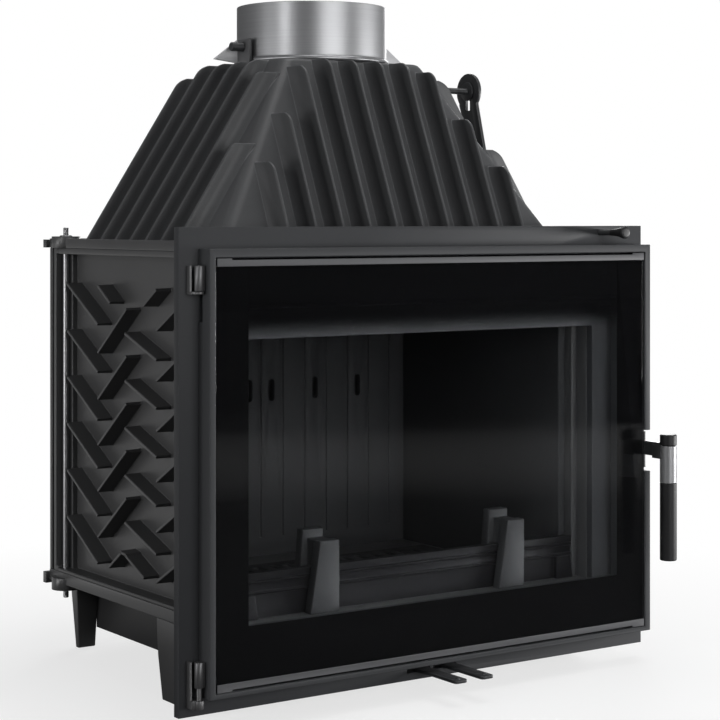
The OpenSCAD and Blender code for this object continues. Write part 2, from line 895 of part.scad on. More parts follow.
module log_fence() placed() color("gray") {
  top = floor_z + fence_h;
  translate([-fence_half_w, 0, 0])
    across(2 * fence_half_w)
      union() {
        translate([fence_in, floor_z]) square([fence_t, fence_h]);
        translate([fence_in - (fence_ledge - fence_t) / 2, top - fence_ledge_h])
          square([fence_ledge, fence_ledge_h]);
        for (share = fence_rib_shares)
          translate([fence_in, top - share * fence_h]) circle(r = fence_rib_r, $fn = 24);
      }
  for (x = [-fence_foot_x - fence_foot_w - fence_foot_slant, fence_foot_x])
    translate([x, fence_in - fence_foot_d, floor_z])
      rearward(fence_foot_d + fence_t / 2)
        polygon([
          [0, 0], [fence_foot_w + fence_foot_slant, 0], [fence_foot_w, fence_foot_h], [0, fence_foot_h]
        ]);
}

// Fire dogs, posts that sit astride the log fence
dog_w = 42;
dog_top_w = 28;
dog_front_d = 14;
dog_back_d = 14;
dog_cap_h = 11;
dog_back_w = 37;
dog_gap = 0.5;

module fire_dog() {
  front = fence_in - (fence_ledge - fence_t) / 2 - dog_gap - fence_rib_r;
  back = fence_in + fence_t + (fence_ledge - fence_t) / 2 + dog_gap;
  low_top = dog_h - dog_cap_h;
  translate([-dog_w / 2, 0, floor_z]) {
    translate([0, front - dog_front_d, 0])
      rearward(dog_front_d)
        polygon([[0, 0], [dog_w, 0], [dog_w, low_top], [dog_w - dog_top_w, low_top]]);
    translate([0, back, 0])
      rearward(dog_back_d)
        polygon([
          [0, 0], [dog_back_w, 0], [dog_back_w, dog_h], [dog_w - dog_top_w - dog_front_d / 2, dog_h]
        ]);
    block(
      [dog_w - dog_top_w, front - dog_front_d / 2, fence_h + dog_gap],
      [dog_back_w, back + dog_back_d / 2, low_top]);
  }
}

module fire_dog_left() placed() color("gray") translate([-dog_x, 0, 0]) fire_dog();
module fire_dog_right() placed() color("gray") translate([dog_x, 0, 0]) fire_dog();

// Hinge brackets on the front plate, with their pins
door_left = door_shift - door_w / 2;
door_right = door_shift + door_w / 2;
door_low = plate_lift + door_up;
weld_gap = 1;
leaf_gap = 1;
hinge_x = door_left - knuckle_r - weld_gap;
hinge_out = door_gap + door_t / 2;
leaf_t = 3;
leaf_x = hinge_x - knuckle_r - leaf_gap;
leaf_out = 9;
eye_r = 5.4;
hinge_arm_t = 3;
lower_knuckle_up = 13.7;
upper_knuckle_down = 19.4;
lower_knuckle = door_low + lower_knuckle_up;
upper_knuckle = door_low + door_h - upper_knuckle_down - knuckle_h;
eye_t = 10;
eye_gap = 0.8;
hinge_gap = 0.5;
pin_short = 4;

module hinge_pin(low, high) {
  translate([hinge_x, -hinge_out, low]) cylinder(h = high - low, r = hinge_pin_r);
}

module hinge_arm(low, thick) {
  translate([hinge_x, -hinge_out, low]) cylinder(h = thick, r = eye_r);
  block([leaf_x - leaf_t, -hinge_out, low], [hinge_x + eye_r, 0, low + thick]);
}

module hinge_brackets() placed() color("silver") {
  upper_arm = upper_knuckle - hinge_gap - hinge_arm_t;
  block([leaf_x - leaf_t, -leaf_out, upper_arm], [leaf_x, 0, upper_knuckle + knuckle_h]);
  hinge_arm(upper_arm, hinge_arm_t);
  hinge_pin(upper_arm, upper_knuckle + knuckle_h - pin_short);
  eye_low = door_low - eye_gap - eye_t;
  block([leaf_x - leaf_t, -leaf_out, eye_low], [leaf_x, 0, lower_knuckle + knuckle_h]);
  hinge_arm(eye_low, eye_t);
  hinge_pin(eye_low, lower_knuckle + knuckle_h - pin_short);
}

// Latch catch, a tab on the front plate with a pin that the handle's nose turns under
catch_gap = 1.4;
catch_t = 3;
catch_pin_r = 3;
catch_out = 13;
catch_low = 28.6;
catch_rise = 4;
nose_gap = 0.8;
notch_in = 13;
arm_gap = 3;
notch_x = door_right - notch_in;
arm_x = notch_x + arm_gap;

module latch_catch() placed() color("silver") {
  x = door_right + catch_gap;
  pin_up = handle_z + arm_h / 2 + nose_gap + catch_pin_r;
  block([x, -catch_out, handle_z - catch_low], [x + catch_t, 0, pin_up + catch_pin_r + catch_rise]);
  translate([arm_x, -catch_out / 2 - catch_pin_r, pin_up])
    rotate([0, 90, 0]) cylinder(h = x + catch_t / 2 - arm_x, r = catch_pin_r);
}

// Guide for the damper's pull rod, on the top plate
guide_in = 60;
guide_t = 6;
guide_half_w = 7.5;

module rod_guide() placed() color("dimgray") difference() {
  block(
    [rod_x - guide_half_w, guide_in, rim_z],
    [rod_x + guide_half_w, guide_in + guide_t, rod_z + 2 * rod_r]);
  translate([rod_x, guide_in + guide_t + over, rod_z])
    rotate([90, 0, 0]) cylinder(h = guide_t + 2 * over, r = rod_r + run_gap);
}

// Door frame with its glass seat, window, handle notch and seal groove
window_w = door_w - 2 * window_side;
window_h = door_h - window_up - window_over;
seat_t = glass_in + glass_t + loose;
notch_low = 31.6;
notch_high = 23.4;
handle_pin_r = 2.95;
handle_pin_in = 11;
seal_inset = 18;
side_relief_d = 10;
side_relief_t = 5;
side_relief_h = 36;
glass_left = door_left + lip_side;
lip_latch_extra = 1.5;
glass_right = door_right - lip_side - lip_latch_extra;
glass_low = door_low + lip_bottom;
glass_high = door_low + door_h - lip_top;
door_face = -door_gap - door_t;

module door_frame() placed() color("dimgray") difference() {
  block([door_left, door_face, door_low], [door_right, -door_gap, door_low + door_h]);
  block([glass_left, door_face - over, glass_low], [glass_right, door_face + seat_t, glass_high]);
  block(
    [door_shift - window_w / 2, door_face, door_low + window_up],
    [door_shift + window_w / 2, over, door_low + window_up + window_h]);
  block(
    [notch_x, door_face - over, handle_z - notch_low],
    [door_right + over, over, handle_z + notch_high]);
  block(
    [door_left - over, -side_relief_d, upper_knuckle - side_relief_h],
    [door_left + side_relief_t, over, upper_knuckle + knuckle_h + loose]);
  seal_ring(rope_d / 2 + loose, -over);
  translate([notch_x - handle_pin_in, -hinge_out, handle_z])
    rotate([0, 90, 0]) cylinder(h = handle_pin_in + over, r = handle_pin_r + run_gap);
}

seal_depth_share = 0.7;

// Square ring in the back of the door, which the rope lies in
module seal_ring(half, gap) {
  deep = rope_d * seal_depth_share;
  difference() {
    block(
      [door_left + seal_inset, -deep - door_gap, door_low + seal_inset],
      [door_right - seal_inset, -gap, door_low + door_h - seal_inset]);
    block(
      [door_left + seal_inset + 2 * half, -deep - door_gap - over, door_low + seal_inset + 2 * half],
      [door_right - seal_inset - 2 * half, over - gap, door_low + door_h - seal_inset - 2 * half]);
  }
}

module rope_seal() placed() color("darkgray") {
  half = rope_d / 2 - loose;
  deep = rope_d * seal_depth_share - loose;
  inset = seal_inset + loose;
  difference() {
    block(
      [door_left + inset, -deep - door_gap, door_low + inset],
      [door_right - inset, -loose, door_low + door_h - inset]);
    block(
      [door_left + inset + 2 * half, -deep - door_gap - over, door_low + inset + 2 * half],
      [door_right - inset - 2 * half, over, door_low + door_h - inset - 2 * half]);
  }
}

glass_play = 0.5;

module door_glass() placed() color("black", 0.6) block(
  [glass_left + glass_play, door_face + glass_in, glass_low + glass_play],
  [glass_right - glass_play, door_face + glass_in + glass_t, glass_high - glass_play]);

// Bars that hold the glass, with taller ends
bar_end_w = 20;
bar_end_h = 2;
bar_t = 1.4;
bar_gap = 1.2;
bar_side_gap = 2;

module glass_bar_top() placed() color("gray") {
  face = door_face + glass_in - bar_t;
  left = glass_left + bar_side_gap;
  right = glass_right - bar_side_gap;
  high = glass_high - bar_gap;
  low = high - bar_end_h - bar_h;
  block([left, face, low], [right, door_face + glass_in, low + bar_h]);
  for (x = [left, right - bar_end_w])
    block([x, face, low], [x + bar_end_w, door_face + glass_in, high]);
}

module glass_bar_bottom() placed() color("gray") {
  face = door_face + glass_in - bar_t;
  left = glass_left + bar_side_gap;
  right = glass_right - bar_side_gap;
  low = glass_low + bar_gap;
  high = low + bar_end_h + bar_h;
  block([left, face, high - bar_h], [right, door_face + glass_in, high]);
  for (x = [left, right - bar_end_w])
    block([x, face, low], [x + bar_end_w, door_face + glass_in, high]);
}

// Knuckles welded to the door's side, each with a blind bore from below
weld_half = 2.5;

module knuckle(low) {
  difference() {
    union() {
      translate([hinge_x, -hinge_out, low]) cylinder(h = knuckle_h, r = knuckle_r);
      block([hinge_x, -hinge_out - weld_half, low], [door_left, -hinge_out + weld_half, low + knuckle_h]);
    }
    translate([hinge_x, -hinge_out, low - over])
      cylinder(h = knuckle_h - pin_short + over + loose, r = hinge_pin_r + run_gap);
  }
}

module door_knuckles() placed() color("silver") {
  knuckle(lower_knuckle);
  knuckle(upper_knuckle);
}

// Pin that carries the handle in the door's notch
pin_head_r = 6;
pin_head_t = 1.7;

module handle_pin() placed() color("silver") translate([notch_x, -hinge_out, handle_z]) rotate([0, 90, 0]) {
  translate([0, 0, -handle_pin_in + loose])
    cylinder(h = handle_pin_in + arm_x - notch_x + arm_t, r = handle_pin_r);
  cylinder(h = arm_x - notch_x - loose, r = pin_head_r);
  translate([0, 0, arm_x - notch_x + arm_t + loose / 2]) cylinder(h = pin_head_t - loose, r = pin_head_r);
  cylinder(h = arm_x - notch_x + arm_t + loose, r = handle_pin_r);
}

// Handle arm, a flat lever with a round nose and a stepped seat for the grip
grip_side = 1;
cap_over = 11.6;
grip_x = arm_x + arm_t + grip_side;
grip_low = handle_z + arm_h / 2 + cap_over - cap_h - sleeve_h - grip_h;
step_d = 8;
step_up = 2.5;

module handle_arm() placed() color("dimgray") difference() {
  union() {
    translate([arm_x, -hinge_out, handle_z])
      rotate([0, 90, 0]) cylinder(h = arm_t, d = arm_h);
    block(
      [arm_x, -grip_out, handle_z - arm_h / 2],
      [arm_x + arm_t, -hinge_out, handle_z + arm_h / 2]);
    block(
      [arm_x - step_up, -grip_out, handle_z - arm_h / 2 - step_up],
      [arm_x + arm_t + step_up, -grip_out + grip_d / 2 + step_d, handle_z + arm_h / 2 - step_up]);
  }
  translate([grip_x, -grip_out, handle_z - arm_h])
    cylinder(h = 2 * arm_h, d = grip_d + 2 * loose);
  block(
    [arm_x - arm_t, -grip_out - over, handle_z - arm_h],
    [arm_x + 2 * arm_t, -grip_out, handle_z + arm_h]);
  translate([arm_x - over, -hinge_out, handle_z])
    rotate([0, 90, 0]) cylinder(h = arm_t + 2 * over, r = handle_pin_r + run_gap);
}

grip_round = 3;

// Lower grip, with a broken edge at its foot
module handle_grip() placed() color("black") translate([grip_x, -grip_out, grip_low])
  rotate_extrude()
    polygon([
      [0, 0], [grip_d / 2 - grip_round, 0], [grip_d / 2 - grip_round / 4, grip_round / 4],
      [grip_d / 2, grip_round], [grip_d / 2, grip_h], [0, grip_h]
    ]);

module grip_sleeve() placed() color("silver") translate([grip_x, -grip_out, grip_low + grip_h])
  cylinder(h = sleeve_h, d = grip_d);

module grip_cap() placed() color("black") translate([grip_x, -grip_out, grip_low + grip_h + sleeve_h])
  rotate_extrude()
    polygon([
      [0, 0], [grip_d / 2, 0], [grip_d / 2, cap_h - grip_round],
      [grip_d / 2 - grip_round / 4, cap_h - grip_round / 4], [grip_d / 2 - grip_round, cap_h], [0, cap_h]
    ]);

// Damper knob and its pull rod, with an upright yoke for the lever's pin
knob_r = 8.2;
knob_h = 28;
knob_out = 24;
knob_neck_r = 5;
knob_round = 2;
knob_flare_share = 0.2;
knob_waist_share = 0.6;
knob_full_share = 0.8;
knob_edge_share = 0.9;
yoke_t = 4;
yoke_rail = 4;
yoke_play = 2;
lever_pin_r = 3;
yoke_foot = 2;
lever_drop = shaft_z - rod_z;
lever_l = sqrt(lever_lean * lever_lean + lever_drop * lever_drop);
pin_depth = flue_depth - lever_lean;
pulled_lean = lever_lean + rod_travel;
pin_rise = lever_drop - sqrt(lever_l * lever_l - pulled_lean * pulled_lean);

module damper_knob() placed() color("black") translate([rod_x, -knob_out, rod_z]) rotate([90, 0, 0])
  rotate_extrude()
    polygon([
      [0, 0], [knob_neck_r, 0], [knob_neck_r, knob_h * knob_flare_share],
      [knob_r - knob_round, knob_h * knob_waist_share], [knob_r, knob_h * knob_full_share],
      [knob_r, knob_h * knob_edge_share], [knob_r - knob_round, knob_h], [0, knob_h]
    ]);

module damper_rod() placed() color("dimgray") {
  half = lever_pin_r + yoke_play;
  translate([rod_x, pin_depth - half, rod_z])
    rotate([90, 0, 0]) cylinder(h = pin_depth - half + knob_out, r = rod_r);
  difference() {
    block(
      [rod_x - yoke_t / 2, pin_depth - half - yoke_rail, rim_z + yoke_foot],
      [rod_x + yoke_t / 2, pin_depth + half + yoke_rail, rod_z + pin_rise + 2 * half]);
    block(
      [rod_x - yoke_t, pin_depth - half, rod_z - rod_r],
      [rod_x + yoke_t, pin_depth + half, rod_z + pin_rise + half]);
  }
}

// Damper lever, a plate that hangs from the shaft and carries the yoke's pin
lever_gap = 8;
lever_x = rod_x - yoke_t / 2 - lever_gap - lever_t;
lever_half_w = 20;
lever_straight = 20;
lever_foot_r = 8;
lever_slot_w = 10;
lever_slot_h = 15;
washer_r = 13.5;
washer_t = 2.5;

module damper_lever() placed() color("dimgray") {
  difference() {
    translate([lever_x, flue_depth, shaft_z])
      across(lever_t)
        union() {
          circle(r = lever_head_r);
          translate([-lever_half_w, -lever_straight]) square([2 * lever_half_w, lever_straight]);
          polygon([
            [-lever_half_w, -lever_straight], [-lever_lean - lever_foot_r, -lever_drop],
            [-lever_lean + lever_foot_r, -lever_drop], [lever_half_w, -lever_straight]
          ]);
          translate([-lever_lean, -lever_drop]) circle(r = lever_foot_r);
        }
    translate([lever_x - over, flue_depth, shaft_z])
      rotate([0, 90, 0]) cylinder(h = lever_t + 2 * over, r = shaft_r + run_gap);
    translate([lever_x - over, flue_depth, shaft_z - lever_straight])
      across(lever_t + 2 * over)
        square([lever_slot_w, lever_slot_h], center = true);
  }
  translate([lever_x + lever_t / 2, pin_depth, rod_z])
    rotate([0, 90, 0]) cylinder(h = rod_x + yoke_t - lever_x - lever_t / 2, r = lever_pin_r);
}

// Damper shaft, with the washers that hold the lever and stop it sliding
module damper_shaft() placed() color("gray") translate([0, flue_depth, shaft_z]) rotate([0, 90, 0]) {
  left = -shaft_face + wall_t / 2 + loose;
  translate([0, 0, left]) cylinder(h = lever_x + lever_t + 2 * washer_t - left, r = shaft_r);
  translate([0, 0, lever_x + lever_t + loose / 3]) cylinder(h = washer_t, r = washer_r);
  translate([0, 0, lever_x - washer_t - loose / 3]) cylinder(h = washer_t, r = washer_r);
  translate([0, 0, shaft_face + boss_out + loose]) cylinder(h = washer_t, r = boss_r);
}

// Damper plate, a disc on two saddles that clamp the shaft
saddle_x = 50;
saddle_w = 16;
saddle_half_d = 9;

module damper_plate() placed() color("gray") translate([0, flue_depth, shaft_z]) {
  translate([0, 0, shaft_r + loose]) cylinder(h = flap_t, r = flap_r, $fn = 96);
  both_sides() difference() {
    block(
      [-saddle_x - saddle_w, -saddle_half_d, -2 * shaft_r],
      [-saddle_x, saddle_half_d, shaft_r + loose + flap_t / 2]);
    translate([-saddle_x - saddle_w - over, 0, 0])
      rotate([0, 90, 0]) cylinder(h = saddle_w + 2 * over, r = shaft_r + run_gap);
  }
}

// Air levers, flat bars that slide the shutters over the air holes
bump_r = 2.5;
bump_h = 1.2;
bump_in = 9;
tip_r = 5;

module air_lever(x, shutter_x) {
  translate([x, 0, air_z]) {
    translate([-air_w / 2, -air_reach + tip_r, 0])
      cube([air_w, air_reach - tip_r + plate_t + shutter_front, air_t]);
    translate([-air_w / 2 + tip_r, -air_reach, 0]) cube([air_w - 2 * tip_r, 2 * tip_r, air_t]);
    for (side = [-1, 1])
      translate([side * (air_w / 2 - tip_r), -air_reach + tip_r, 0])
        cylinder(h = air_t, r = tip_r, $fn = 32);
    translate([0, -air_reach + bump_in, air_t]) cylinder(h = bump_h, r = bump_r, $fn = 32);
    translate([shutter_x - shutter_w / 2, plate_t + shutter_front - over, 0])
      cube([shutter_w, shutter_d, air_t]);
  }
}

module air_lever_left() placed() color("dimgray") air_lever(air_left_x, -shutter_w / 4);
module air_lever_right() placed() color("dimgray") air_lever(air_right_x, shutter_w / 6);

bottom_plate();
top_plate();
side_wall_left();
side_wall_right();
rear_wall();
door_seat_frame();
front_plate();
hood();
flue_collar();
collar_brackets();
collar_bolts();
tie_rods();
tie_rod_nuts();
front_leg_left();
front_leg_right();
rear_leg_left();
rear_leg_right();
air_box();
ash_pan();
grate();
lining_left();
lining_right();
rear_lining();
baffle();
log_fence();
fire_dog_left();
fire_dog_right();
hinge_brackets();
latch_catch();
rod_guide();
door_frame();
door_glass();
glass_bar_top();
glass_bar_bottom();
rope_seal();
door_knuckles();
handle_pin();
handle_arm();
handle_grip();
grip_sleeve();
grip_cap();
damper_knob();
damper_rod();
damper_lever();
damper_shaft();
damper_plate();
air_lever_left();
air_lever_right();
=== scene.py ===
import json
import math

import bmesh
import bpy
import numpy as np
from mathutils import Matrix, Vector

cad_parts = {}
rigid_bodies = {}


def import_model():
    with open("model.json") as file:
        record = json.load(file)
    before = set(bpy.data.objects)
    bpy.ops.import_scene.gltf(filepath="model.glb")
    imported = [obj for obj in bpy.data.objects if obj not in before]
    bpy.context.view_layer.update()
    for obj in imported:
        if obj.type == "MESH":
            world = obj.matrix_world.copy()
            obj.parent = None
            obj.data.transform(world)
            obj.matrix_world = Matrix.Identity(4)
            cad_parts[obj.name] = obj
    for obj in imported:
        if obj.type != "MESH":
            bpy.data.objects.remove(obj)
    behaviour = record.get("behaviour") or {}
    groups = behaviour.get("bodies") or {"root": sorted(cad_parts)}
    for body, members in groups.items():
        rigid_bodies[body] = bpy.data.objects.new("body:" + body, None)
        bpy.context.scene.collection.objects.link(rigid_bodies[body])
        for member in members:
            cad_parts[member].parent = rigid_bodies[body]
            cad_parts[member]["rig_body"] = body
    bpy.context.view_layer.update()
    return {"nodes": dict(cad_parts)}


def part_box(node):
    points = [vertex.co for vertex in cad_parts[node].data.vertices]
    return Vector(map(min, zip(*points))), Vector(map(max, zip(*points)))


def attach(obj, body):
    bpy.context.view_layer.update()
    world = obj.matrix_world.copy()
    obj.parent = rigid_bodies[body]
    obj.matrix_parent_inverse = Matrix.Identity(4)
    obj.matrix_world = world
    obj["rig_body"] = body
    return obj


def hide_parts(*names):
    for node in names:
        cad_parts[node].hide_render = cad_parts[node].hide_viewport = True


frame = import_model()

# The view: a camera on a tripod to the left of the insert, level with its rim, with a long lens.
# Its place, turn and shift were worked out from the straight edges of the plate and the door.
ahead_x, ahead_y = 0.5663, 0.8242
lens = bpy.data.cameras.new("camera")
lens.lens, lens.sensor_width, lens.shift_y = 96.7, 36, -0.1956
camera = bpy.data.objects.new("camera", lens)
camera.location = (-1.4484, -2.1593, 0.5960)
camera.rotation_euler = (math.pi / 2, 0, -math.atan2(ahead_x, ahead_y))
bpy.context.scene.collection.objects.link(camera)
bpy.context.scene.camera = camera
bpy.context.scene.view_settings.view_transform = "Standard"

# The room: a dim studio, a little lighter overhead and at the sides. Behind the insert hangs a white
# paper roll, which steel and glass mirror too. A black cloth before the door keeps the glass dark.


def finish_step(tree, kind, wires=None, **settings):
    """Adds one step to a finish. Each wire is a socket's name or number with a source or a plain value."""
    step = tree.nodes.new(kind)
    for name, value in settings.items():
        setattr(step, name, value)
    for socket, source in (wires or {}).items():
        if isinstance(source, bpy.types.NodeSocket):
            tree.links.new(source, step.inputs[socket])
        else:
            step.inputs[socket].default_value = source
    return step


def reckoned(tree, operation, *terms):
    """Arithmetic on up to three terms, each an earlier step or a plain number."""
    return finish_step(tree, "ShaderNodeMath", dict(enumerate(terms)), operation=operation).outputs[0]


def alignment(tree, one, other):
    """How far two directions agree: 1 when they are the same, 0 when they are square to each other."""
    return finish_step(tree, "ShaderNodeVectorMath", {0: one, 1: other}, operation="DOT_PRODUCT").outputs["Value"]


def ramp(tree, value, low, high, start, end, **settings):
    """A change in proportion: start where value is low, end where it is high, and level beyond both."""
    return finish_step(tree, "ShaderNodeMapRange", {
        "Value": value, "From Min": low, "From Max": high, "To Min": start, "To Max": end}, **settings).outputs[0]


studio = bpy.data.worlds.new("studio")
studio.use_nodes = True
bpy.context.scene.world = studio
room = studio.node_tree
room.nodes.clear()
direction = finish_step(room, "ShaderNodeTexCoord").outputs["Generated"]
toward = finish_step(room, "ShaderNodeSeparateXYZ", {0: direction}).outputs
paper_roll = ramp(room, alignment(room, direction, (ahead_x, ahead_y, 0.0)), 0.955, 0.985, 0.0, 1.0)
ray = finish_step(room, "ShaderNodeLightPath").outputs
mirrored = reckoned(room, "ADD", ray["Is Glossy Ray"], ray["Is Transmission Ray"])
roll_seen = reckoned(room, "MAXIMUM", ray["Is Camera Ray"], reckoned(room, "MULTIPLY", mirrored, paper_roll))
sideways = reckoned(room, "MULTIPLY", toward["X"], toward["X"])
overhead = ramp(room, toward["Z"], -0.25, 0.9, 0.05, 0.2)
open_room = reckoned(room, "MULTIPLY_ADD", sideways, 0.1, overhead)
black_cloth = ramp(room, alignment(room, direction, (ahead_x, -ahead_y, 0.0)), 0.7, 0.95, 1.0, 0.12)
room_level = reckoned(room, "MULTIPLY", open_room, black_cloth)
room_light = finish_step(room, "ShaderNodeBackground", {"Color": (0.97, 0.98, 1.0, 1), "Strength": room_level})
white_paper = finish_step(room, "ShaderNodeBackground", {"Color": (1, 1, 1, 1), "Strength": 1.0})
backdrop = finish_step(room, "ShaderNodeMixShader", {
    0: roll_seen, 1: room_light.outputs[0], 2: white_paper.outputs[0]})
finish_step(room, "ShaderNodeOutputWorld", {0: backdrop.outputs[0]})

# The floor: a pale painted slab under the feet, which runs into the white of the paper roll. Reflected and
# bounced rays find it dark, as under a black cloth, and painted light glows from it: faintly in a strip 2.6 m away,
# and more brightly behind the insert.


def blank_finish(name):
    """A new finish, its steps, its shader, and the place on the piece in metres that its patterns read."""
    finish = bpy.data.materials.new(name)
    finish.use_nodes = True
    tree = finish.node_tree
    place = finish_step(tree, "ShaderNodeTexCoord").outputs["Object"]
    return finish, tree, tree.nodes["Principled BSDF"], place


def mixed(tree, share, first, second):
    """Two colours, of which share 0 gives the first and 1 the second. Each is a triple or an earlier step."""
    colours = [colour if isinstance(colour, bpy.types.NodeSocket) else (*colour, 1) for colour in (first, second)]
    return finish_step(tree, "ShaderNodeMix", {0: share, 6: colours[0], 7: colours[1]}, data_type="RGBA").outputs[2]


slab_half, slab_lines = 9.0, 13
slab_steps = np.linspace(-slab_half, slab_half, slab_lines)
slab_x, slab_y = np.meshgrid(slab_steps, slab_steps)
slab_points = np.stack([slab_x, slab_y, np.zeros_like(slab_x)], -1).reshape(-1, 3)
slab_index = np.arange(slab_lines ** 2).reshape(slab_lines, slab_lines)
slab_faces = np.stack([slab_index[:-1, :-1], slab_index[:-1, 1:], slab_index[1:, 1:], slab_index[1:, :-1]], -1)
slab_mesh = bpy.data.meshes.new("floor")
slab_mesh.from_pydata(slab_points, [], slab_faces.reshape(-1, 4).tolist())
floor = bpy.data.objects.new("floor", slab_mesh)
bpy.context.scene.collection.objects.link(floor)

floor_paint, tree, _, slab_place = blank_finish("floor_paint")
ray = finish_step(tree, "ShaderNodeLightPath").outputs
away = finish_step(tree, "ShaderNodeVectorMath", {0: slab_place}, operation="LENGTH").outputs["Value"]
runs_out = ramp(tree, away, 0.45, 1.1, 0.7, 1.0)
slab_axes = finish_step(tree, "ShaderNodeSeparateXYZ", {0: slab_place}).outputs
# Painted light: for reflected and bounced rays, the slab glows behind the insert and in a strip 2.6 m away.
glow_behind = ramp(tree, slab_axes["Y"], 0.2, 0.7, 0.0, 0.6)
past_strip = reckoned(tree, "SUBTRACT", away, 2.6)
strip_glow = ramp(tree, reckoned(tree, "MULTIPLY", past_strip, past_strip), 0.0, 0.5, 0.2, 0.0)
mirror_glow = reckoned(tree, "MAXIMUM", glow_behind, strip_glow)
white_share = finish_step(tree, "ShaderNodeMix", {0: ray["Is Camera Ray"], 2: mirror_glow, 3: runs_out})
paint_tone = mixed(tree, ray["Is Camera Ray"], (0.05, 0.05, 0.05), (0.86, 0.86, 0.86))
paint = finish_step(tree, "ShaderNodeBsdfDiffuse", {"Color": paint_tone})
white = finish_step(tree, "ShaderNodeEmission", {"Color": (1, 1, 1, 1), "Strength": 1.0})
slab_seen = finish_step(tree, "ShaderNodeMixShader", {
    0: white_share.outputs[0], 1: paint.outputs[0], 2: white.outputs[0]})
tree.links.new(slab_seen.outputs[0], tree.nodes["Material Output"].inputs["Surface"])
floor.data.materials.append(floor_paint)

# The lamps: cloth fronted boxes. A low one stands to the right of the door and a broad one before it,
# two narrow ones on the left, one hangs overhead, and one lights the rear.


def softbox(name, place, aim, width, height, watts):
    """A rectangular lamp of this width and height in metres, that looks from place to aim."""
    lamp = bpy.data.lights.new(name, "AREA")
    lamp.shape = "RECTANGLE"
    lamp.size, lamp.size_y, lamp.energy = width, height, watts
    box = bpy.data.objects.new(name, lamp)
    box.location = place
    step = np.array(aim) - np.array(place)
    level = math.hypot(step[0], step[1])
    box.rotation_euler = (math.atan2(level, -step[2]), 0, math.atan2(-step[0], step[1]))
    box.visible_camera = False
    bpy.context.scene.collection.objects.link(box)


softbox("softbox_right", (2.9, -1.6, 0.33), (0.0, -0.1, 0.35), 1.9, 0.6, 92)
softbox("softbox_front", (-0.1, -3.3, 0.85), (0.0, -0.1, 0.45), 2.2, 1.5, 48)
softbox("softbox_left", (-2.9, 0.6, 0.35), (-0.1, 0.0, 0.3), 0.6, 0.8, 15)
softbox("softbox_corner", (-2.85, -0.8, 1.05), (-0.1, 0.0, 0.5), 0.3, 1.0, 14)
softbox("softbox_top", (0.4, -0.2, 2.9), (0.0, 0.0, 0.4), 1.6, 1.6, 34)
softbox("softbox_rear", (2.2, 2.0, 1.0), (0.0, 0.1, 0.4), 1.0, 1.6, 36)

# Bottom plate: sand cast iron, 15 mm thick, with two ears for the tie rods at its rear corners.
# The side walls stand in it, and the legs and the air box are bolted under it.


def mottle(tree, place, cells, layers, finer=0.5):
    """Smooth chance mottling of about so many cells in a metre, with finer layers that each fade by finer."""
    return finish_step(tree, "ShaderNodeTexNoise", {
        "Vector": place, "Scale": cells, "Detail": layers, "Roughness": finer}).outputs[0]


def cast_finish(name, colour, roughness, edge, grain, relief, edge_highlight=1.7, gloss=0.5):
    """Painted sand cast iron. The sand leaves grain millimetres wide and relief millimetres deep, slow
    clouds shift the paint's tone, and a painted highlight lifts the tone by edge_highlight within edge millimetres
    of every edge."""
    finish, tree, shader, place = blank_finish(name)
    tone = np.array(colour)
    sand = mottle(tree, place, 1000 / grain, 3.0, 0.65)
    cloud = mottle(tree, place, 7.0, 6.0, 0.6)
    wave = mottle(tree, place, 38.0, 2.0)
    rounded = finish_step(tree, "ShaderNodeBevel", {"Radius": edge / 1000}, samples=6).outputs[0]
    flat = finish_step(tree, "ShaderNodeNewGeometry").outputs["Normal"]
    # Painted highlight: where the rounded normal turns away from the flat one, the tone is lifted towards
    # edge_highlight times itself.
    edge_highlight_share = ramp(tree, alignment(tree, rounded, flat), 0.995, 0.84, 0.0, 1.0)
    clouded = mixed(tree, cloud, tone * 0.82, tone * 1.18)
    pitted = mixed(tree, ramp(tree, sand, 0.38, 0.5, 0.55, 0.0), clouded, tone * 0.6)
    tree.links.new(mixed(tree, edge_highlight_share, pitted, tone * edge_highlight), shader.inputs["Base Color"])
    tree.links.new(ramp(tree, cloud, 0.3, 0.7, roughness - 0.05, roughness + 0.06), shader.inputs["Roughness"])
    waved = finish_step(tree, "ShaderNodeBump", {
        "Height": wave, "Normal": rounded, "Distance": relief * 0.0025, "Strength": 0.5}).outputs[0]
    grained = finish_step(tree, "ShaderNodeBump", {
        "Height": sand, "Normal": waved, "Distance": relief / 1000, "Strength": 0.6}).outputs[0]
    tree.links.new(grained, shader.inputs["Normal"])
    shader.inputs["Specular IOR Level"].default_value = gloss
    return finish


def fettle(node, finish, broken):
    """A casting or a pressed piece as it leaves the bench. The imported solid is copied, its loose triangles
    are joined into flat faces, and every edge sharper than 30 degrees is rounded by broken millimetres."""
    solid = frame["nodes"][node]
    bench = bmesh.new()
    bench.from_mesh(solid.data)
    bmesh.ops.remove_doubles(bench, verts=bench.verts, dist=2e-6)
    bmesh.ops.dissolve_limit(bench, angle_limit=0.012, verts=bench.verts, edges=bench.edges)
    mesh = bpy.data.meshes.new(node + "_piece")
    bench.to_mesh(mesh)
    bench.free()
    mesh.materials.clear()
    mesh.materials.append(finish)
    mesh.shade_smooth()
    piece = bpy.data.objects.new(mesh.name, mesh)
    bpy.context.scene.collection.objects.link(piece)
    rounding = piece.modifiers.new("broken edges", "BEVEL")
    rounding.width, rounding.segments, rounding.limit_method = broken / 1000, 2, "ANGLE"
    rounding.angle_limit, rounding.harden_normals = 0.52, True
    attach(piece, solid["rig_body"])
    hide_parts(node)


# The seventh number of each cast finish is the strength of its painted edge highlight.
body_iron = cast_finish("body_iron", (0.062, 0.062, 0.063), 0.38, 1.4, 0.9, 0.10, 1.8, 0.5)
plate_iron = cast_finish("plate_iron", (0.064, 0.064, 0.065), 0.34, 1.4, 0.9, 0.07, 2.0, 0.6)
fettle("bottom_plate", plate_iron, 1.4)

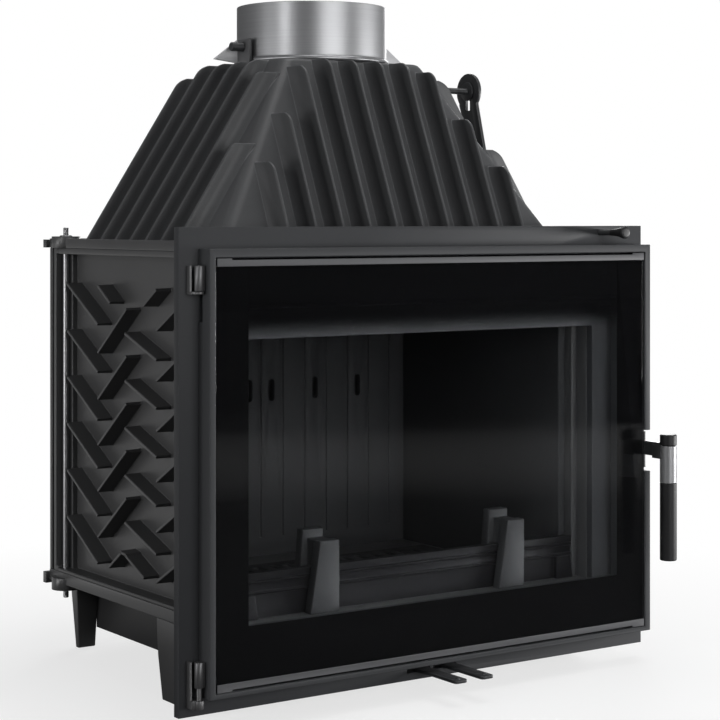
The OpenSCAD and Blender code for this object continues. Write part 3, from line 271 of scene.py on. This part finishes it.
# Air box and ash pan: folded steel sheet under the bottom plate. Air enters past the two levers,
# and the pan slides in front to back under the grate.
sheet_black = cast_finish("sheet_black", (0.034, 0.034, 0.035), 0.42, 0.5, 0.5, 0.03, 1.7, 0.4)
fettle("air_box", sheet_black, 0.5)


def drawn_finish(name, colour, roughness, streaks, relief, metal=1.0):
    """Bare steel with marks of the tool. The marks are a noise that is stretched along the stroke: streaks
    has the number of marks in a metre along each axis, low where the stroke runs, and relief their depth."""
    finish, tree, shader, place = blank_finish(name)
    tone = np.array(colour)
    stroke = finish_step(tree, "ShaderNodeMapping", {"Vector": place, "Scale": streaks}).outputs[0]
    mark = mottle(tree, stroke, 1.0, 4.0, 0.7)
    cloud = mottle(tree, place, 16.0, 4.0)
    rounded = finish_step(tree, "ShaderNodeBevel", {"Radius": 0.0005}, samples=6).outputs[0]
    tree.links.new(mixed(tree, mark, tone * 0.78, tone * 1.22), shader.inputs["Base Color"])
    marked_dull = reckoned(tree, "MULTIPLY_ADD", mark, 0.16, roughness - 0.12)
    tree.links.new(reckoned(tree, "MULTIPLY_ADD", cloud, 0.08, marked_dull), shader.inputs["Roughness"])
    scored = finish_step(tree, "ShaderNodeBump", {
        "Height": mark, "Normal": rounded, "Distance": relief / 1000, "Strength": 0.5}).outputs[0]
    tree.links.new(scored, shader.inputs["Normal"])
    shader.inputs["Metallic"].default_value = metal
    return finish


pan_steel = drawn_finish("pan_steel", (0.32, 0.32, 0.33), 0.45, (40, 700, 700), 0.02)
fettle("ash_pan", pan_steel, 0.5)

# Side walls: cast iron panels, 8 mm thick, in a frame of flanges. A plait of slats stands 22 mm off
# the panel: six long slats on each half, five crossed pairs in the middle, and short ones at the ends.


def reach(node):
    """A node's lowest and highest corners at rest, in millimetres."""
    return np.round(np.array(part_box(node)) * 1000, 3)


def skin(rings, looped=False):
    """One closed surface through rings of points in millimetres: each ring joins the next all the way
    round. The first and last rings are filled, or joined to each other when the path is a loop."""
    rings = np.asarray(rings, float)
    index = np.arange(rings.shape[0] * rings.shape[1]).reshape(rings.shape[:2])
    low, high = (index, np.roll(index, -1, 0)) if looped else (index[:-1], index[1:])
    quads = np.stack([low, np.roll(low, -1, 1), np.roll(high, -1, 1), high], -1).reshape(-1, 4)
    ends = [] if looped else [index[0][::-1].tolist(), index[-1].tolist()]
    return rings.reshape(-1, 3), quads, ends


def make_piece(name, skins, finish, body, *nodes, crease=0.6):
    """One object from closed skins. Their points are put end to end and their normals turned outwards.
    Faces that meet by more than crease radians keep a sharp edge, and wide faces are shaded flat."""
    starts = np.cumsum([0] + [len(points) for points, _, _ in skins])
    faces = []
    for start, (_, quads, ends) in zip(starts, skins):
        faces += (quads + start).tolist() + [[number + int(start) for number in end] for end in ends]
    mesh = bpy.data.meshes.new(name)
    mesh.from_pydata(np.concatenate([points for points, _, _ in skins]) / 1000, [], faces)
    bench = bmesh.new()
    bench.from_mesh(mesh)
    bmesh.ops.recalc_face_normals(bench, faces=bench.faces)
    bench.to_mesh(mesh)
    bench.free()
    mesh.materials.append(finish)
    mesh.shade_smooth()
    mesh.set_sharp_from_angle(angle=crease)
    piece = bpy.data.objects.new(name, mesh)
    bpy.context.scene.collection.objects.link(piece)
    flats = piece.modifiers.new("flat faces", "WEIGHTED_NORMAL")
    flats.weight, flats.keep_sharp = 100, True
    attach(piece, body)
    if nodes:
        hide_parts(*nodes)
    return piece


def eased_slab(low, high, ease):
    """A plate or bar from its lowest corner to its highest. Its outline has corners of radius ease, and
    it is drawn in by a quarter circle of the same radius at both faces of its shortest side."""
    low, high = np.array(low, float), np.array(high, float)
    thin = int(np.argmin(high - low))
    wide = [axis for axis in range(3) if axis != thin]
    turn = np.linspace(0, np.pi / 2, 4)
    spread = np.concatenate([turn + quarter * np.pi / 2 for quarter in range(4)])
    corner = np.stack([np.cos(spread), np.sin(spread)], 1)
    signs = np.repeat([[1, 1], [-1, 1], [-1, -1], [1, -1]], 4, 0)
    middle, half = (low + high)[wide] / 2, (high - low)[wide] / 2
    rings = []
    for angle in (1.571, 0.785, 0.0):
        rise, inset = ease * (1 - math.sin(angle)), ease * (1 - math.cos(angle))
        ring = np.empty((len(spread), 3))
        ring[:, wide] = middle + signs * (half - ease) + (ease - inset) * 0.999 * corner
        ring[:, thin] = low[thin] + rise
        rings.append(ring)
    for ring in rings[::-1]:
        far = ring.copy()
        far[:, thin] = high[thin] - (ring[:, thin] - low[thin])
        rings.append(far)
    return skin(rings)


def cast_bar(start, end, outward, section, ease):
    """A bar between two points on a face: its section, pairs of across and outward distances, is
    carried from start to end, and both ends are drawn in by ease."""
    start, end, outward = (np.array(v, float) for v in (start, end, outward))
    run = end - start
    far = np.linalg.norm(run)
    along = run / far
    across = np.cross(outward, along)
    section = np.array(section, float)
    heart = np.array([0.0, section[:, 1].max() / 2])
    drawn_in = [(0, ease), (ease * 0.3, ease * 0.3), (ease, 0)]
    rings = []
    for place, inset in drawn_in + [(far - place, inset) for place, inset in drawn_in[::-1]]:
        pulled = section - np.sign(section - heart) * np.minimum(inset, np.abs(section - heart) * 0.6)
        rings.append(start + along * place + pulled[:, :1] * across + pulled[:, 1:] * outward)
    return skin(rings)


(inner_x, wall_front, wall_low), (outer_x, wall_rear, wall_top) = reach("side_wall_right")
panel_x, wall_mid = inner_x + 8, 53.0
wall_corner = (inner_x, wall_front, wall_low)
wall_plates = [
    (wall_corner, (panel_x, wall_rear, wall_top), 1.2),
    (wall_corner, (outer_x, wall_rear, wall_low + 5), 1.6),
    ((inner_x, wall_front, wall_top - 8.5), (outer_x, wall_rear, wall_top), 1.8),
    (wall_corner, (outer_x, wall_front + 8, wall_top), 1.8),
    ((inner_x, wall_rear - 16, wall_low), (panel_x + 8, wall_rear, wall_top), 1.8),
]
slat_section = [(-2.9, -4), (-2.9, 0), (-2.4, 1.2), (-2.0, 21.2), (-1.6, 21.8), (-1.1, 22),
                (1.1, 22), (1.6, 21.8), (2.0, 21.2), (2.4, 1.2), (2.9, 0), (2.9, -4)]
slat_lines = []
for low in 143 + 62.9 * np.arange(6):
    slat_lines += [((80.5, low), (171, low + 50.5)), ((-171, low + 50.5), (-80.5, low))]
for low in 177.5 + 60.7 * np.arange(5):
    slat_lines += [((0, low + 60.5), (80.5, low)), ((-80.5, low), (4, low + 29))]
slat_lines += [((-80, 508), (-46, 487)), ((46, 487), (80, 508)),
               ((-48, 143), (4, 165)), ((0, 165), (17, 167)), ((13, 167), (48, 143))]

for side, name in ((-1, "side_wall_left"), (1, "side_wall_right")):
    wall = [eased_slab(*plate) for plate in wall_plates]
    for (start_y, start_z), (end_y, end_z) in slat_lines:
        start, end = (panel_x, wall_mid + start_y, start_z), (panel_x, wall_mid + end_y, end_z)
        wall.append(cast_bar(start, end, (1, 0, 0), slat_section, 0.6))
    wall =[(points * (side, 1, 1), quads, ends) for points, quads, ends in wall]
    make_piece(name + "_piece", wall, body_iron, "stove", name)

# Rear wall, seat frame and top plate: the ribbed back of the firebox, the cast collar between the body
# and the front plate, and the rim plate on top. The tie rods clamp them between the two plates.
fettle("rear_wall", body_iron, 1.4)
fettle("door_seat_frame", body_iron, 1.6)
fettle("top_plate", plate_iron, 1.6)

# Legs: cast iron brackets under the front corners, and slanted feet under the rear corners. All four
# are bolted under the bottom plate.
for node in ("front_leg_left", "front_leg_right", "rear_leg_left", "rear_leg_right"):
    fettle(node, body_iron, 1.5)

# Tie rods and nuts: 8 mm bright steel rods, threaded at both ends, that clamp the body between its
# plates. Each hexagon nut has its corners turned off to a cone.


def turned(profile, centre, along, steps=48, looped=False):
    """A turned surface: pairs of radius and height are carried round the line through centre along the
    given axis. A looped profile closes on itself, as for a tube."""
    along = np.array(along, float) / np.linalg.norm(along)
    side = np.cross(along, (0, 0, 1) if abs(along[2]) < 0.9 else (1, 0, 0))
    side /= np.linalg.norm(side)
    other = np.cross(along, side)
    angle = np.linspace(0, 2 * np.pi, steps, endpoint=False)[None, :, None]
    profile = np.array(profile, float)
    radius, height = profile[:, 0, None, None], profile[:, 1, None, None]
    rings = np.array(centre, float) + radius * (np.cos(angle) * side + np.sin(angle) * other) + height * along
    return skin(rings, looped)


def threaded(radius, low, high, pitch, depth):
    """The profile of a threaded length: the radius falls and rises by depth once in every pitch."""
    height = np.arange(low, high, pitch / 2)
    return np.stack([radius - depth * (np.arange(len(height)) % 2), height], 1)


rod_radius = 3.9
(_, _, rod_foot), (rod_reach, _, rod_head) = reach("tie_rods")
rod_x, rod_y = rod_reach - rod_radius, 243.5
rod_profile = np.concatenate([
    [(3.0, rod_foot), (3.5, rod_foot + 0.5)],
    threaded(3.8, rod_foot + 0.8, rod_foot + 17, 1.0, 0.2),
    [(rod_radius, rod_foot + 18), (rod_radius, rod_head - 24.5)],
    threaded(3.8, rod_head - 23.5, rod_head - 0.9, 1.0, 0.2),
    [(3.5, rod_head - 0.5), (3.0, rod_head)]])
rod_steel = drawn_finish("rod_steel", (0.34, 0.34, 0.347), 0.34, (900, 900, 30), 0.012)
rods = [turned(rod_profile, (x, rod_y, 0), (0, 0, 1), 24) for x in (-rod_x, rod_x)]
make_piece("tie_rods_piece", rods, rod_steel, "stove", "tie_rods")


def hexagon_nut(x, y, low, high, across, bore):
    """A nut between two levels. Its outline is a hexagon, and near both faces a cone limits the radius."""
    angle = np.linspace(0, 2 * np.pi, 72, endpoint=False)
    flat = across / 2 / np.cos((angle + np.pi / 6) % (np.pi / 3) - np.pi / 6)
    tall = high - low
    rings = []
    for level in (0, 0.5, 1.0, tall - 1.0, tall - 0.5, tall):
        radius = np.minimum(flat, across / 2 - 0.3 + 1.75 * min(level, tall - level))
        rings.append(np.stack([x + radius * np.cos(angle), y + radius * np.sin(angle), np.full(72, low + level)], 1))
    for level in (high, low):
        rings.append(np.stack([x + bore * np.cos(angle), y + bore * np.sin(angle), np.full(72, level)], 1))
    return skin(rings, looped=True)


nut_tall = 6.5
nut_low, nut_top = reach("tie_rod_nuts")[:, 2]
nuts = [hexagon_nut(x, rod_y, low, low + nut_tall, 15.0, 4.0)
        for x in (-rod_x, rod_x) for low in (nut_low, nut_top - nut_tall)]
make_piece("tie_rod_nuts_piece", nuts, rod_steel, "stove", "tie_rod_nuts")

# Linings: bare cast iron plates that stand inside the walls, with a grooved plate at the rear.
# The grate lies in the bottom plate, and the baffle rests on the linings' tops.
inner_iron = cast_finish("inner_iron", (0.036, 0.0369, 0.0385), 0.5, 1.2, 1.0, 0.12, 1.7, 0.1)
inner_edges = {"lining_left": 1.2, "lining_right": 1.2, "rear_lining": 0.7, "baffle": 1.5, "grate": 1.0}
for node, broken in inner_edges.items():
    fettle(node, inner_iron, broken)

# Fence and fire dogs: a cast bar with two ridges keeps the logs off the glass, and two cast posts
# with tapered faces sit astride it.
# Its very dark tone carries a strong painted highlight along its edges.
fence_iron = cast_finish("fence_iron", (0.010, 0.010, 0.011), 0.4, 0.9, 1.0, 0.08, 7.0, 0.1)
fettle("log_fence", fence_iron, 0.9)
dog_iron = cast_finish("dog_iron", (0.044, 0.0449, 0.0466), 0.45, 1.0, 1.0, 0.08, 2.0, 0.15)
fettle("fire_dog_left", dog_iron, 1.2)
fettle("fire_dog_right", dog_iron, 1.2)

# Front plate: cast iron, 11 mm thick and ground flat in front, where the door's rope closes on it.
# It hangs on the seat frame and is painted smoother than the body.
front_iron = cast_finish("front_iron", (0.044, 0.0453, 0.0483), 0.5, 1.0, 0.6, 0.05, 1.6, 0.12)
fettle("front_plate", front_iron, 1.1)

# Hood: one thin walled casting. A four sided shell with rounded corners narrows to a flat top with
# the smoke hole, and fins stand square on its four faces to give off heat.
rim_z, hood_z = reach("hood")[:, 2]
root_half, root_front, root_back = 264.0, -141.0, 227.0
top_half, top_front, top_back = 111.0, -38.5, 170.5
flue_y = 66.0


def hood_level(z, inset=0.0, radius=15.0):
    """The shell's outline at a height: the root's and the top's rectangles in proportion, drawn in by
    inset, with corners turned through quarter circles and evenly spaced points along the sides."""
    share = (z - rim_z) / (hood_z - rim_z)
    half = root_half + (top_half - root_half) * share - inset
    front = root_front + (top_front - root_front) * share + inset
    back = root_back + (top_back - root_back) * share - inset
    steps = 9
    angle = np.concatenate([np.linspace(0, np.pi / 2, steps) + quarter * np.pi / 2 for quarter in range(4)])
    x = np.repeat([1, -1, -1, 1], steps) * (half - radius) + radius * np.cos(angle)
    y = np.where(np.repeat([1, 1, 0, 0], steps), back - radius, front + radius) + radius * np.sin(angle)
    corners = np.stack([x, y, np.full(4 * steps, z)], 1).reshape(4, steps, 3)
    sides = [np.linspace(corners[quarter, -1], corners[(quarter + 1) % 4, 0], 18)[1:-1] for quarter in range(4)]
    return np.concatenate([part for pair in zip(corners, sides) for part in pair])


def smoke_hole(z, radius):
    """A circle with one point for each point of the shell's outline, in the same direction."""
    outline = hood_level(hood_z)
    angle = np.arctan2(outline[:, 1] - flue_y, outline[:, 0])
    return np.stack([radius * np.cos(angle), flue_y + radius * np.sin(angle), np.full(len(angle), z)], 1)


shell = [hood_level(z) for z in np.linspace(rim_z, hood_z - 5, 8)]
shell += [hood_level(hood_z - 1.6, 0.8), hood_level(hood_z - 0.3, 2.6), hood_level(hood_z, 5)]
shell += [smoke_hole(hood_z, 97.0), smoke_hole(hood_z - 1.5, 95.5), smoke_hole(hood_z - 8, 95.5)]
shell += [hood_level(z, 9.0, 12.0) for z in np.linspace(hood_z - 8, rim_z, 6)]
hood_skins = [skin(shell, looped=True)]

front_slope = (top_front - root_front) / (hood_z - rim_z)
rear_slope = (root_back - top_back) / (hood_z - rim_z)
side_slope = (root_half - top_half) / (hood_z - rim_z)
linkage_top = 616


def hood_fin(foot, outward, slope, height, top, plumb=None, bend=12.0):
    """A fin on a sloping face. Its section is wide at the root with a hollow fillet, tapers to a rounded
    crest, and is carried up the slope from a level cut at the rim to one at top, where the crest turns
    in by the radius bend. Beside the damper's linkage, a cut at x plumb leaves it room."""
    rise = height * 0.6
    fillet = np.array([0, 0.12, 0.28, 0.5, 0.75, 1.0]) * rise
    level = np.concatenate([[-3], fillet, [height * 0.8, height - 1.7, height - 0.6, height]])
    spread = 2.3 + 6.5 * np.clip(1 - level / rise, 0, 1) ** 2.6
    spread = np.where(level > rise, 2.3 - 0.35 * (level - rise) / (height - rise), spread)
    spread[-3:] = (1.95, 1.5, 0.6)
    across = np.concatenate([-spread, spread[::-1]])
    proud = np.concatenate([level, level[::-1]])
    outward = np.array([*outward, 0.0])
    length = math.hypot(1, slope)
    upslope = (np.array([0, 0, 1.0]) - outward * slope) / length
    normal = (outward + np.array([0, 0, slope])) / length
    sideways = np.cross((0, 0, 1), outward)
    stem = [(z, 0.0) for z in (rim_z, 585, 600, 612, linkage_top, linkage_top + 1)]
    crown = [(top - bend * (1 - math.sin(a)), bend * (1 - math.cos(a))) for a in np.linspace(0, 1.4, 7)]
    rings = []
    for z, shrink in stem + crown:
        out = np.where(proud > rise, proud - shrink * (proud - rise) / (height - rise), proud)
        wide = across * (1 - shrink * 0.03)
        climb = (z - rim_z - out * normal[2]) / upslope[2]
        ring = np.array([*foot, rim_z]) + wide[:, None] * sideways + out[:, None] * normal + climb[:, None] * upslope
        if plumb and z <= linkage_top:
            ring[:, 0] = np.minimum(ring[:, 0], plumb)
        rings.append(ring)
    return skin(rings)


def ridge(inward, slope):
    """How high a fin may reach: 25 mm under the edge where two faces meet, and almost to the flat top."""
    return min(hood_z - 1, rim_z + inward / slope - 25)


fin_pitch, front_fin, other_fin = 41.0, 30.0, 22.5
for x in (np.arange(10) - 4.5) * fin_pitch:
    top = ridge(root_half - abs(x), side_slope)
    hood_skins.append(hood_fin((x, root_front), (0, -1), front_slope, front_fin, top))
    hood_skins.append(hood_fin((x, root_back), (0, 1), rear_slope, other_fin, top))
for y in -77.5 + np.arange(7) * fin_pitch:
    top = min(ridge(y - root_front, front_slope), ridge(root_back - y, rear_slope))
    hood_skins.append(hood_fin((-root_half, y), (-1, 0), side_slope, other_fin, top, None, 5.0 if y < 0 else 12.0))
    hood_skins.append(hood_fin((root_half, y), (1, 0), side_slope, other_fin, top, 266.0 if y < 53 else None))
shaft_z = 781.0
boss_x = root_half - (shaft_z - rim_z) * side_slope
hood_skins.append(turned([(10, -8), (10, 10.8), (8.8, 12), (4.6, 12)], (boss_x, flue_y, shaft_z), (1, 0, 0), 32))
hood_skins.append(turned([(10, -2), (10, 8.8), (8.8, 10)], (-boss_x, flue_y, shaft_z), (-1, 0, 0), 32))
# The hood's iron is a little lighter than the body's. This is painted light that stands in for front light its fins
# lack.
hood_iron_lightened = cast_finish("hood_iron_lightened", (0.066, 0.0671, 0.0697), 0.44, 1.4, 0.9, 0.10, 2.2, 0.3)
make_piece("hood_piece", hood_skins, hood_iron_lightened, "stove", "hood")

# Flue collar: 2 mm steel, rolled to a ring and welded, brushed round the outside. A bead is rolled
# into its foot, which stands on the hood's flat top.
collar_bore, collar_out, bead_radius = 100.5, 102.5, 3.5
collar_top = reach("flue_collar")[1, 2]
bead = [(collar_out + bead_radius * math.cos(a), hood_z + bead_radius * (1 + math.sin(a)))
        for a in np.linspace(-1.5, 1.5, 9)]
collar_profile = [(collar_bore, hood_z), *bead, (collar_out, hood_z + 9), (collar_out, collar_top - 0.7),
                  (collar_out - 0.4, collar_top - 0.1), (collar_bore + 0.4, collar_top),
                  (collar_bore, collar_top - 0.6)]
collar_steel = drawn_finish("collar_steel", (0.31, 0.312, 0.321), 0.38, (6, 6, 1400), 0.02, 0.8)
make_piece("flue_collar_piece", [turned(collar_profile, (0, flue_y, 0), (0, 0, 1), 160, looped=True)],
           collar_steel, "stove", "flue_collar", crease=0.9)

# Collar brackets and bolts: black steel tabs on the hood's top beside the collar, and the screws that
# pinch the flue pipe. The gussets, 110 mm and more from the flue's middle, are bare zinc grey.
tab_paint = cast_finish("tab_paint", (0.030, 0.031, 0.033), 0.42, 0.6, 0.5, 0.03, 1.6)
tree = tab_paint.node_tree
tab_colour = tree.nodes["Principled BSDF"].inputs["Base Color"]
tab_place = finish_step(tree, "ShaderNodeTexCoord").outputs["Object"]
tab_x = finish_step(tree, "ShaderNodeSeparateXYZ", {0: tab_place}).outputs["X"]
gusset = ramp(tree, reckoned(tree, "ABSOLUTE", tab_x), 0.1102, 0.1108, 0.0, 1.0)
tree.links.new(mixed(tree, gusset, tab_colour.links[0].from_socket, (0.42, 0.42, 0.43)), tab_colour)
fettle("collar_brackets", tab_paint, 0.6)
black_steel = cast_finish("black_steel", (0.030, 0.031, 0.033), 0.40, 0.6, 0.5, 0.03, 1.5)
bolt_seat, bolt_z = 102.8, 826.5
bolt_profile = [(4.6, 0), *threaded(6.0, 0.6, 25.0, 1.5, 0.4), (5.6, 25.4), (4.8, 26)]
bolts = [turned(bolt_profile, (bolt_seat * side, flue_y, bolt_z), (side, 0, 0), 32) for side in (-1, 1)]
make_piece("collar_bolts_piece", bolts, black_steel, "stove", "collar_bolts")

# Damper: a disc in the smoke hole on a steel shaft, with a hanging lever outside the hood on the
# right. The pull rod's yoke holds the lever's pin, so that pulling the knob turns the disc.
fettle("damper_lever", black_steel, 0.7)
fettle("damper_shaft", black_steel, 0.4)
fettle("damper_plate", inner_iron, 0.7)
fettle("damper_rod", black_steel, 0.4)
fettle("rod_guide", black_steel, 0.5)


def moulded_finish(name, colour, roughness):
    """Black moulding with a faint leather like skin: a fine noise lifts the surface by hundredths."""
    finish, tree, shader, place = blank_finish(name)
    tone = np.array(colour)
    leather = mottle(tree, place, 1400.0, 2.0)
    dust = mottle(tree, place, 60.0, 4.0)
    tree.links.new(mixed(tree, dust, tone * 0.85, tone * 1.2), shader.inputs["Base Color"])
    tree.links.new(reckoned(tree, "MULTIPLY_ADD", dust, 0.12, roughness - 0.06), shader.inputs["Roughness"])
    lifted = finish_step(tree, "ShaderNodeBump", {"Height": leather, "Distance": 0.00004, "Strength": 0.5})
    tree.links.new(lifted.outputs[0], shader.inputs["Normal"])
    shader.inputs["Specular IOR Level"].default_value = 0.3
    return finish


grip_black = moulded_finish("grip_black", (0.015, 0.015, 0.016), 0.44)
knob_profile = [(0, 0), (4.4, 0), (4.5, 3), (4.7, 7), (5.2, 11), (5.9, 15), (6.8, 18.5), (7.7, 21.5), (8.15, 23.6),
                (8.2, 25.2), (7.8, 26.7), (6.8, 27.7), (4.5, 28), (0, 28)]
knob_seat = (285, -228.5, 578.3)
make_piece("damper_knob_piece", [turned(knob_profile, knob_seat, (0, -1, 0), 40)],
           grip_black, "damper_pull", "damper_knob", crease=1.2)

# Hinge brackets and catch: turned steel eyes with pins on the plate's left edge, and the bent steel
# catch on its right, behind which the latch's nose passes.
eye_steel = drawn_finish("eye_steel", (0.11, 0.11, 0.112), 0.45, (900, 900, 40), 0.01, 0.6)
fettle("hinge_brackets", eye_steel, 0.4)
fettle("latch_catch", black_steel, 0.4)

# Door frame: one casting with a rebate for the glass in front, a groove for the rope behind, and a
# notch for the latch in its right edge.
door_iron = cast_finish("door_iron", (0.052, 0.0536, 0.0567), 0.5, 1.0, 0.6, 0.04, 1.6, 0.12)
fettle("door_frame", door_iron, 0.8)

# Door glass: 4 mm ceramic glass with ground edges, which lies in the rebate. A black border is
# printed on its back, solid round the frame and fading out along its upper inner edge.


def glass_finish(name):
    """Clear ceramic glass, very slightly grey. Lamps pass it, as they do the real pane."""
    finish = bpy.data.materials.new(name)
    finish.use_nodes = True
    tree = finish.node_tree
    shader = tree.nodes["Principled BSDF"]
    shader.inputs["Base Color"].default_value = (0.86, 0.87, 0.88, 1)
    shader.inputs["Roughness"].default_value = 0.0
    shader.inputs["IOR"].default_value = 1.36
    shader.inputs["Transmission Weight"].default_value = 1.0
    clear = finish_step(tree, "ShaderNodeBsdfTransparent", {"Color": (0.85, 0.86, 0.87, 1)})
    shadow = finish_step(tree, "ShaderNodeLightPath").outputs["Is Shadow Ray"]
    pane = finish_step(tree, "ShaderNodeMixShader", {0: shadow, 1: shader.outputs[0], 2: clear.outputs[0]})
    tree.links.new(pane.outputs[0], tree.nodes["Material Output"].inputs["Surface"])
    return finish


pane_low, pane_high = reach("door_glass")
clear_glass = glass_finish("clear_glass")
make_piece("door_glass_piece", [eased_slab(pane_low, pane_high, 0.5)], clear_glass, "door", "door_glass", crease=0.2)


def print_finish(name):
    """Black enamel print with fine specks. It touches the glass, so that it has no gloss of its own."""
    finish, tree, shader, place = blank_finish(name)
    speck = mottle(tree, place, 900.0, 2.0)
    tone = mixed(tree, speck, (0.0025, 0.0025, 0.0027), (0.0045, 0.0045, 0.0048))
    tree.links.new(tone, shader.inputs["Base Color"])
    shader.inputs["Roughness"].default_value = 0.6
    shader.inputs["Specular IOR Level"].default_value = 0.0
    return finish, tree, shader, place


def printed_band(left, right, low, high):
    """One thin layer of print, 0.1 mm thick, on the back of the glass."""
    back = pane_high[1]
    return eased_slab((left, back + 0.05, low), (right, back + 0.15, high), 0.04)


enamel = print_finish("enamel")[0]
print_left, _, print_low = pane_low + 0.3
print_right, _, print_top = pane_high - 0.3
window_left, window_right, window_low, window_top, fade_low = -278.6, 294.3, 121.6, 496, 448
border = [printed_band(print_left, print_right, print_low, window_low),
          printed_band(print_left, window_left, window_low, print_top),
          printed_band(window_right, print_right, window_low, print_top),
          printed_band(window_left, window_right, window_top, print_top)]
border_piece = make_piece("glass_border", border, enamel, "door")

enamel_fade, tree, print_shader, print_place = print_finish("enamel_fade")
print_height = finish_step(tree, "ShaderNodeSeparateXYZ", {0: print_place}).outputs["Z"]
solid_share = ramp(tree, print_height, 0.450, 0.494, 0.0, 1.0, interpolation_type="SMOOTHSTEP")
tree.links.new(solid_share, print_shader.inputs["Alpha"])
fade = [printed_band(window_left, window_right, fade_low, window_top)]
fade_piece = make_piece("glass_border_fade", fade, enamel_fade, "door")

# Glass bars: strips of black steel, 1.4 mm thick, screwed into the rebate above and below, with
# taller rounded ends.
bar_steel = cast_finish("bar_steel", (0.100, 0.101, 0.106), 0.5, 0.6, 0.5, 0.03, 1.5, 0.12)
fettle("glass_bar_top", bar_steel, 0.3)
fettle("glass_bar_bottom", bar_steel, 0.3)

# Rope seal: 12 mm braided glass rope, pressed into the groove behind the door. Its strands cross on
# the surface as two sets of spirals.
rope_low, rope_high = reach("rope_seal")
rope_half, rope_corner, rope_y = 6.0, 14.0, (rope_low[1] + rope_high[1]) / 2
left, right = rope_low[0] + rope_half, rope_high[0] - rope_half
low, high = rope_low[2] + rope_half, rope_high[2] - rope_half
corner_middles = np.array([(right, high), (left, high), (left, low), (right, low)]) + (
    np.array([(-1, -1), (1, -1), (1, 1), (-1, 1)]) * rope_corner)
turn = np.linspace(0, np.pi / 2, 12) + np.arange(4)[:, None] * np.pi / 2
bends = corner_middles[:, None] + rope_corner * np.stack([np.cos(turn), np.sin(turn)], -1)
rope_line = np.concatenate([bends.reshape(-1, 2), bends[0, :1]])
walked = np.concatenate([[0], np.cumsum(np.linalg.norm(np.diff(rope_line, axis=0), axis=1))])
even = np.linspace(0, walked[-1], 900, endpoint=False)
rope_path = np.stack([np.interp(even, walked, rope_line[:, 0]), np.interp(even, walked, rope_line[:, 1])], 1)
ahead = np.roll(rope_path, -1, 0) - np.roll(rope_path, 1, 0)
ahead /= np.linalg.norm(ahead, axis=1)[:, None]
around = np.linspace(0, 2 * np.pi, 28, endpoint=False)
spirals = [np.abs(np.sin(4 * around[None] + hand * even[:, None] * 0.9)) for hand in (1, -1)]
braid = 0.32 * (spirals[0] + spirals[1])
across_rope, deep_rope = (5.35 + braid) * np.cos(around), (3.45 + braid) * np.sin(around)
rope_rings = np.stack([
    rope_path[:, :1] - ahead[:, 1:] * across_rope,
    rope_y + deep_rope,
    rope_path[:, 1:] + ahead[:, :1] * across_rope], -1)
rope_grey = cast_finish("rope_grey", (0.16, 0.16, 0.155), 0.9, 0.2, 0.6, 0.08, 1.1)
make_piece("rope_seal_piece", [skin(rope_rings, looped=True)], rope_grey, "door", "rope_seal", crease=2.0)

# Hinge knuckles: bright turned steel barrels, welded to the door's left edge with short leaves. They
# turn on the brackets' pins.
pin_steel = drawn_finish("pin_steel", (0.12, 0.12, 0.123), 0.42, (900, 900, 40), 0.01, 0.7)
fettle("door_knuckles", pin_steel, 0.5)

# Handle: a black steel lever on a pin in the door's edge. Its grip is a black moulding below, a
# brushed steel sleeve, and a black cap.
fettle("handle_pin", pin_steel, 0.3)
fettle("handle_arm", black_steel, 0.8)


def eased_rod(low, high, radius, ease):
    """The profile of a round bar between two heights, with both ends drawn in by a quarter circle."""
    bend = np.linspace(0, np.pi / 2, 5)
    foot = np.stack([radius - ease * (1 - np.sin(bend)), low + ease * (1 - np.cos(bend))], 1)
    head = np.stack([radius - ease * (1 - np.cos(bend)), high - ease * (1 - np.sin(bend))], 1)
    return np.concatenate([[(0, low)], foot, head, [(0, high)]])


grip_x, grip_y, grip_radius = 350.0, -267.5, 11.2
sleeve_steel = drawn_finish("sleeve_steel", (0.30, 0.302, 0.31), 0.36, (30, 30, 1500), 0.012, 0.5)
grip_parts = [("handle_grip", grip_black, 1.6), ("grip_sleeve", sleeve_steel, 0.4),
              ("grip_cap", grip_black, 1.8)]
for node, finish, ease in grip_parts:
    low, high = reach(node)[:, 2]
    length = turned(eased_rod(low, high, grip_radius, ease), (grip_x, grip_y, 0), (0, 0, 1))
    make_piece(node + "_piece", [length], finish, "handle", node, crease=0.9)

# Air levers: flat black bars with round tips and a raised dot, that slide the shutters in the air
# box from side to side.
fettle("air_lever_left", black_steel, 0.6)
fettle("air_lever_right", black_steel, 0.6)
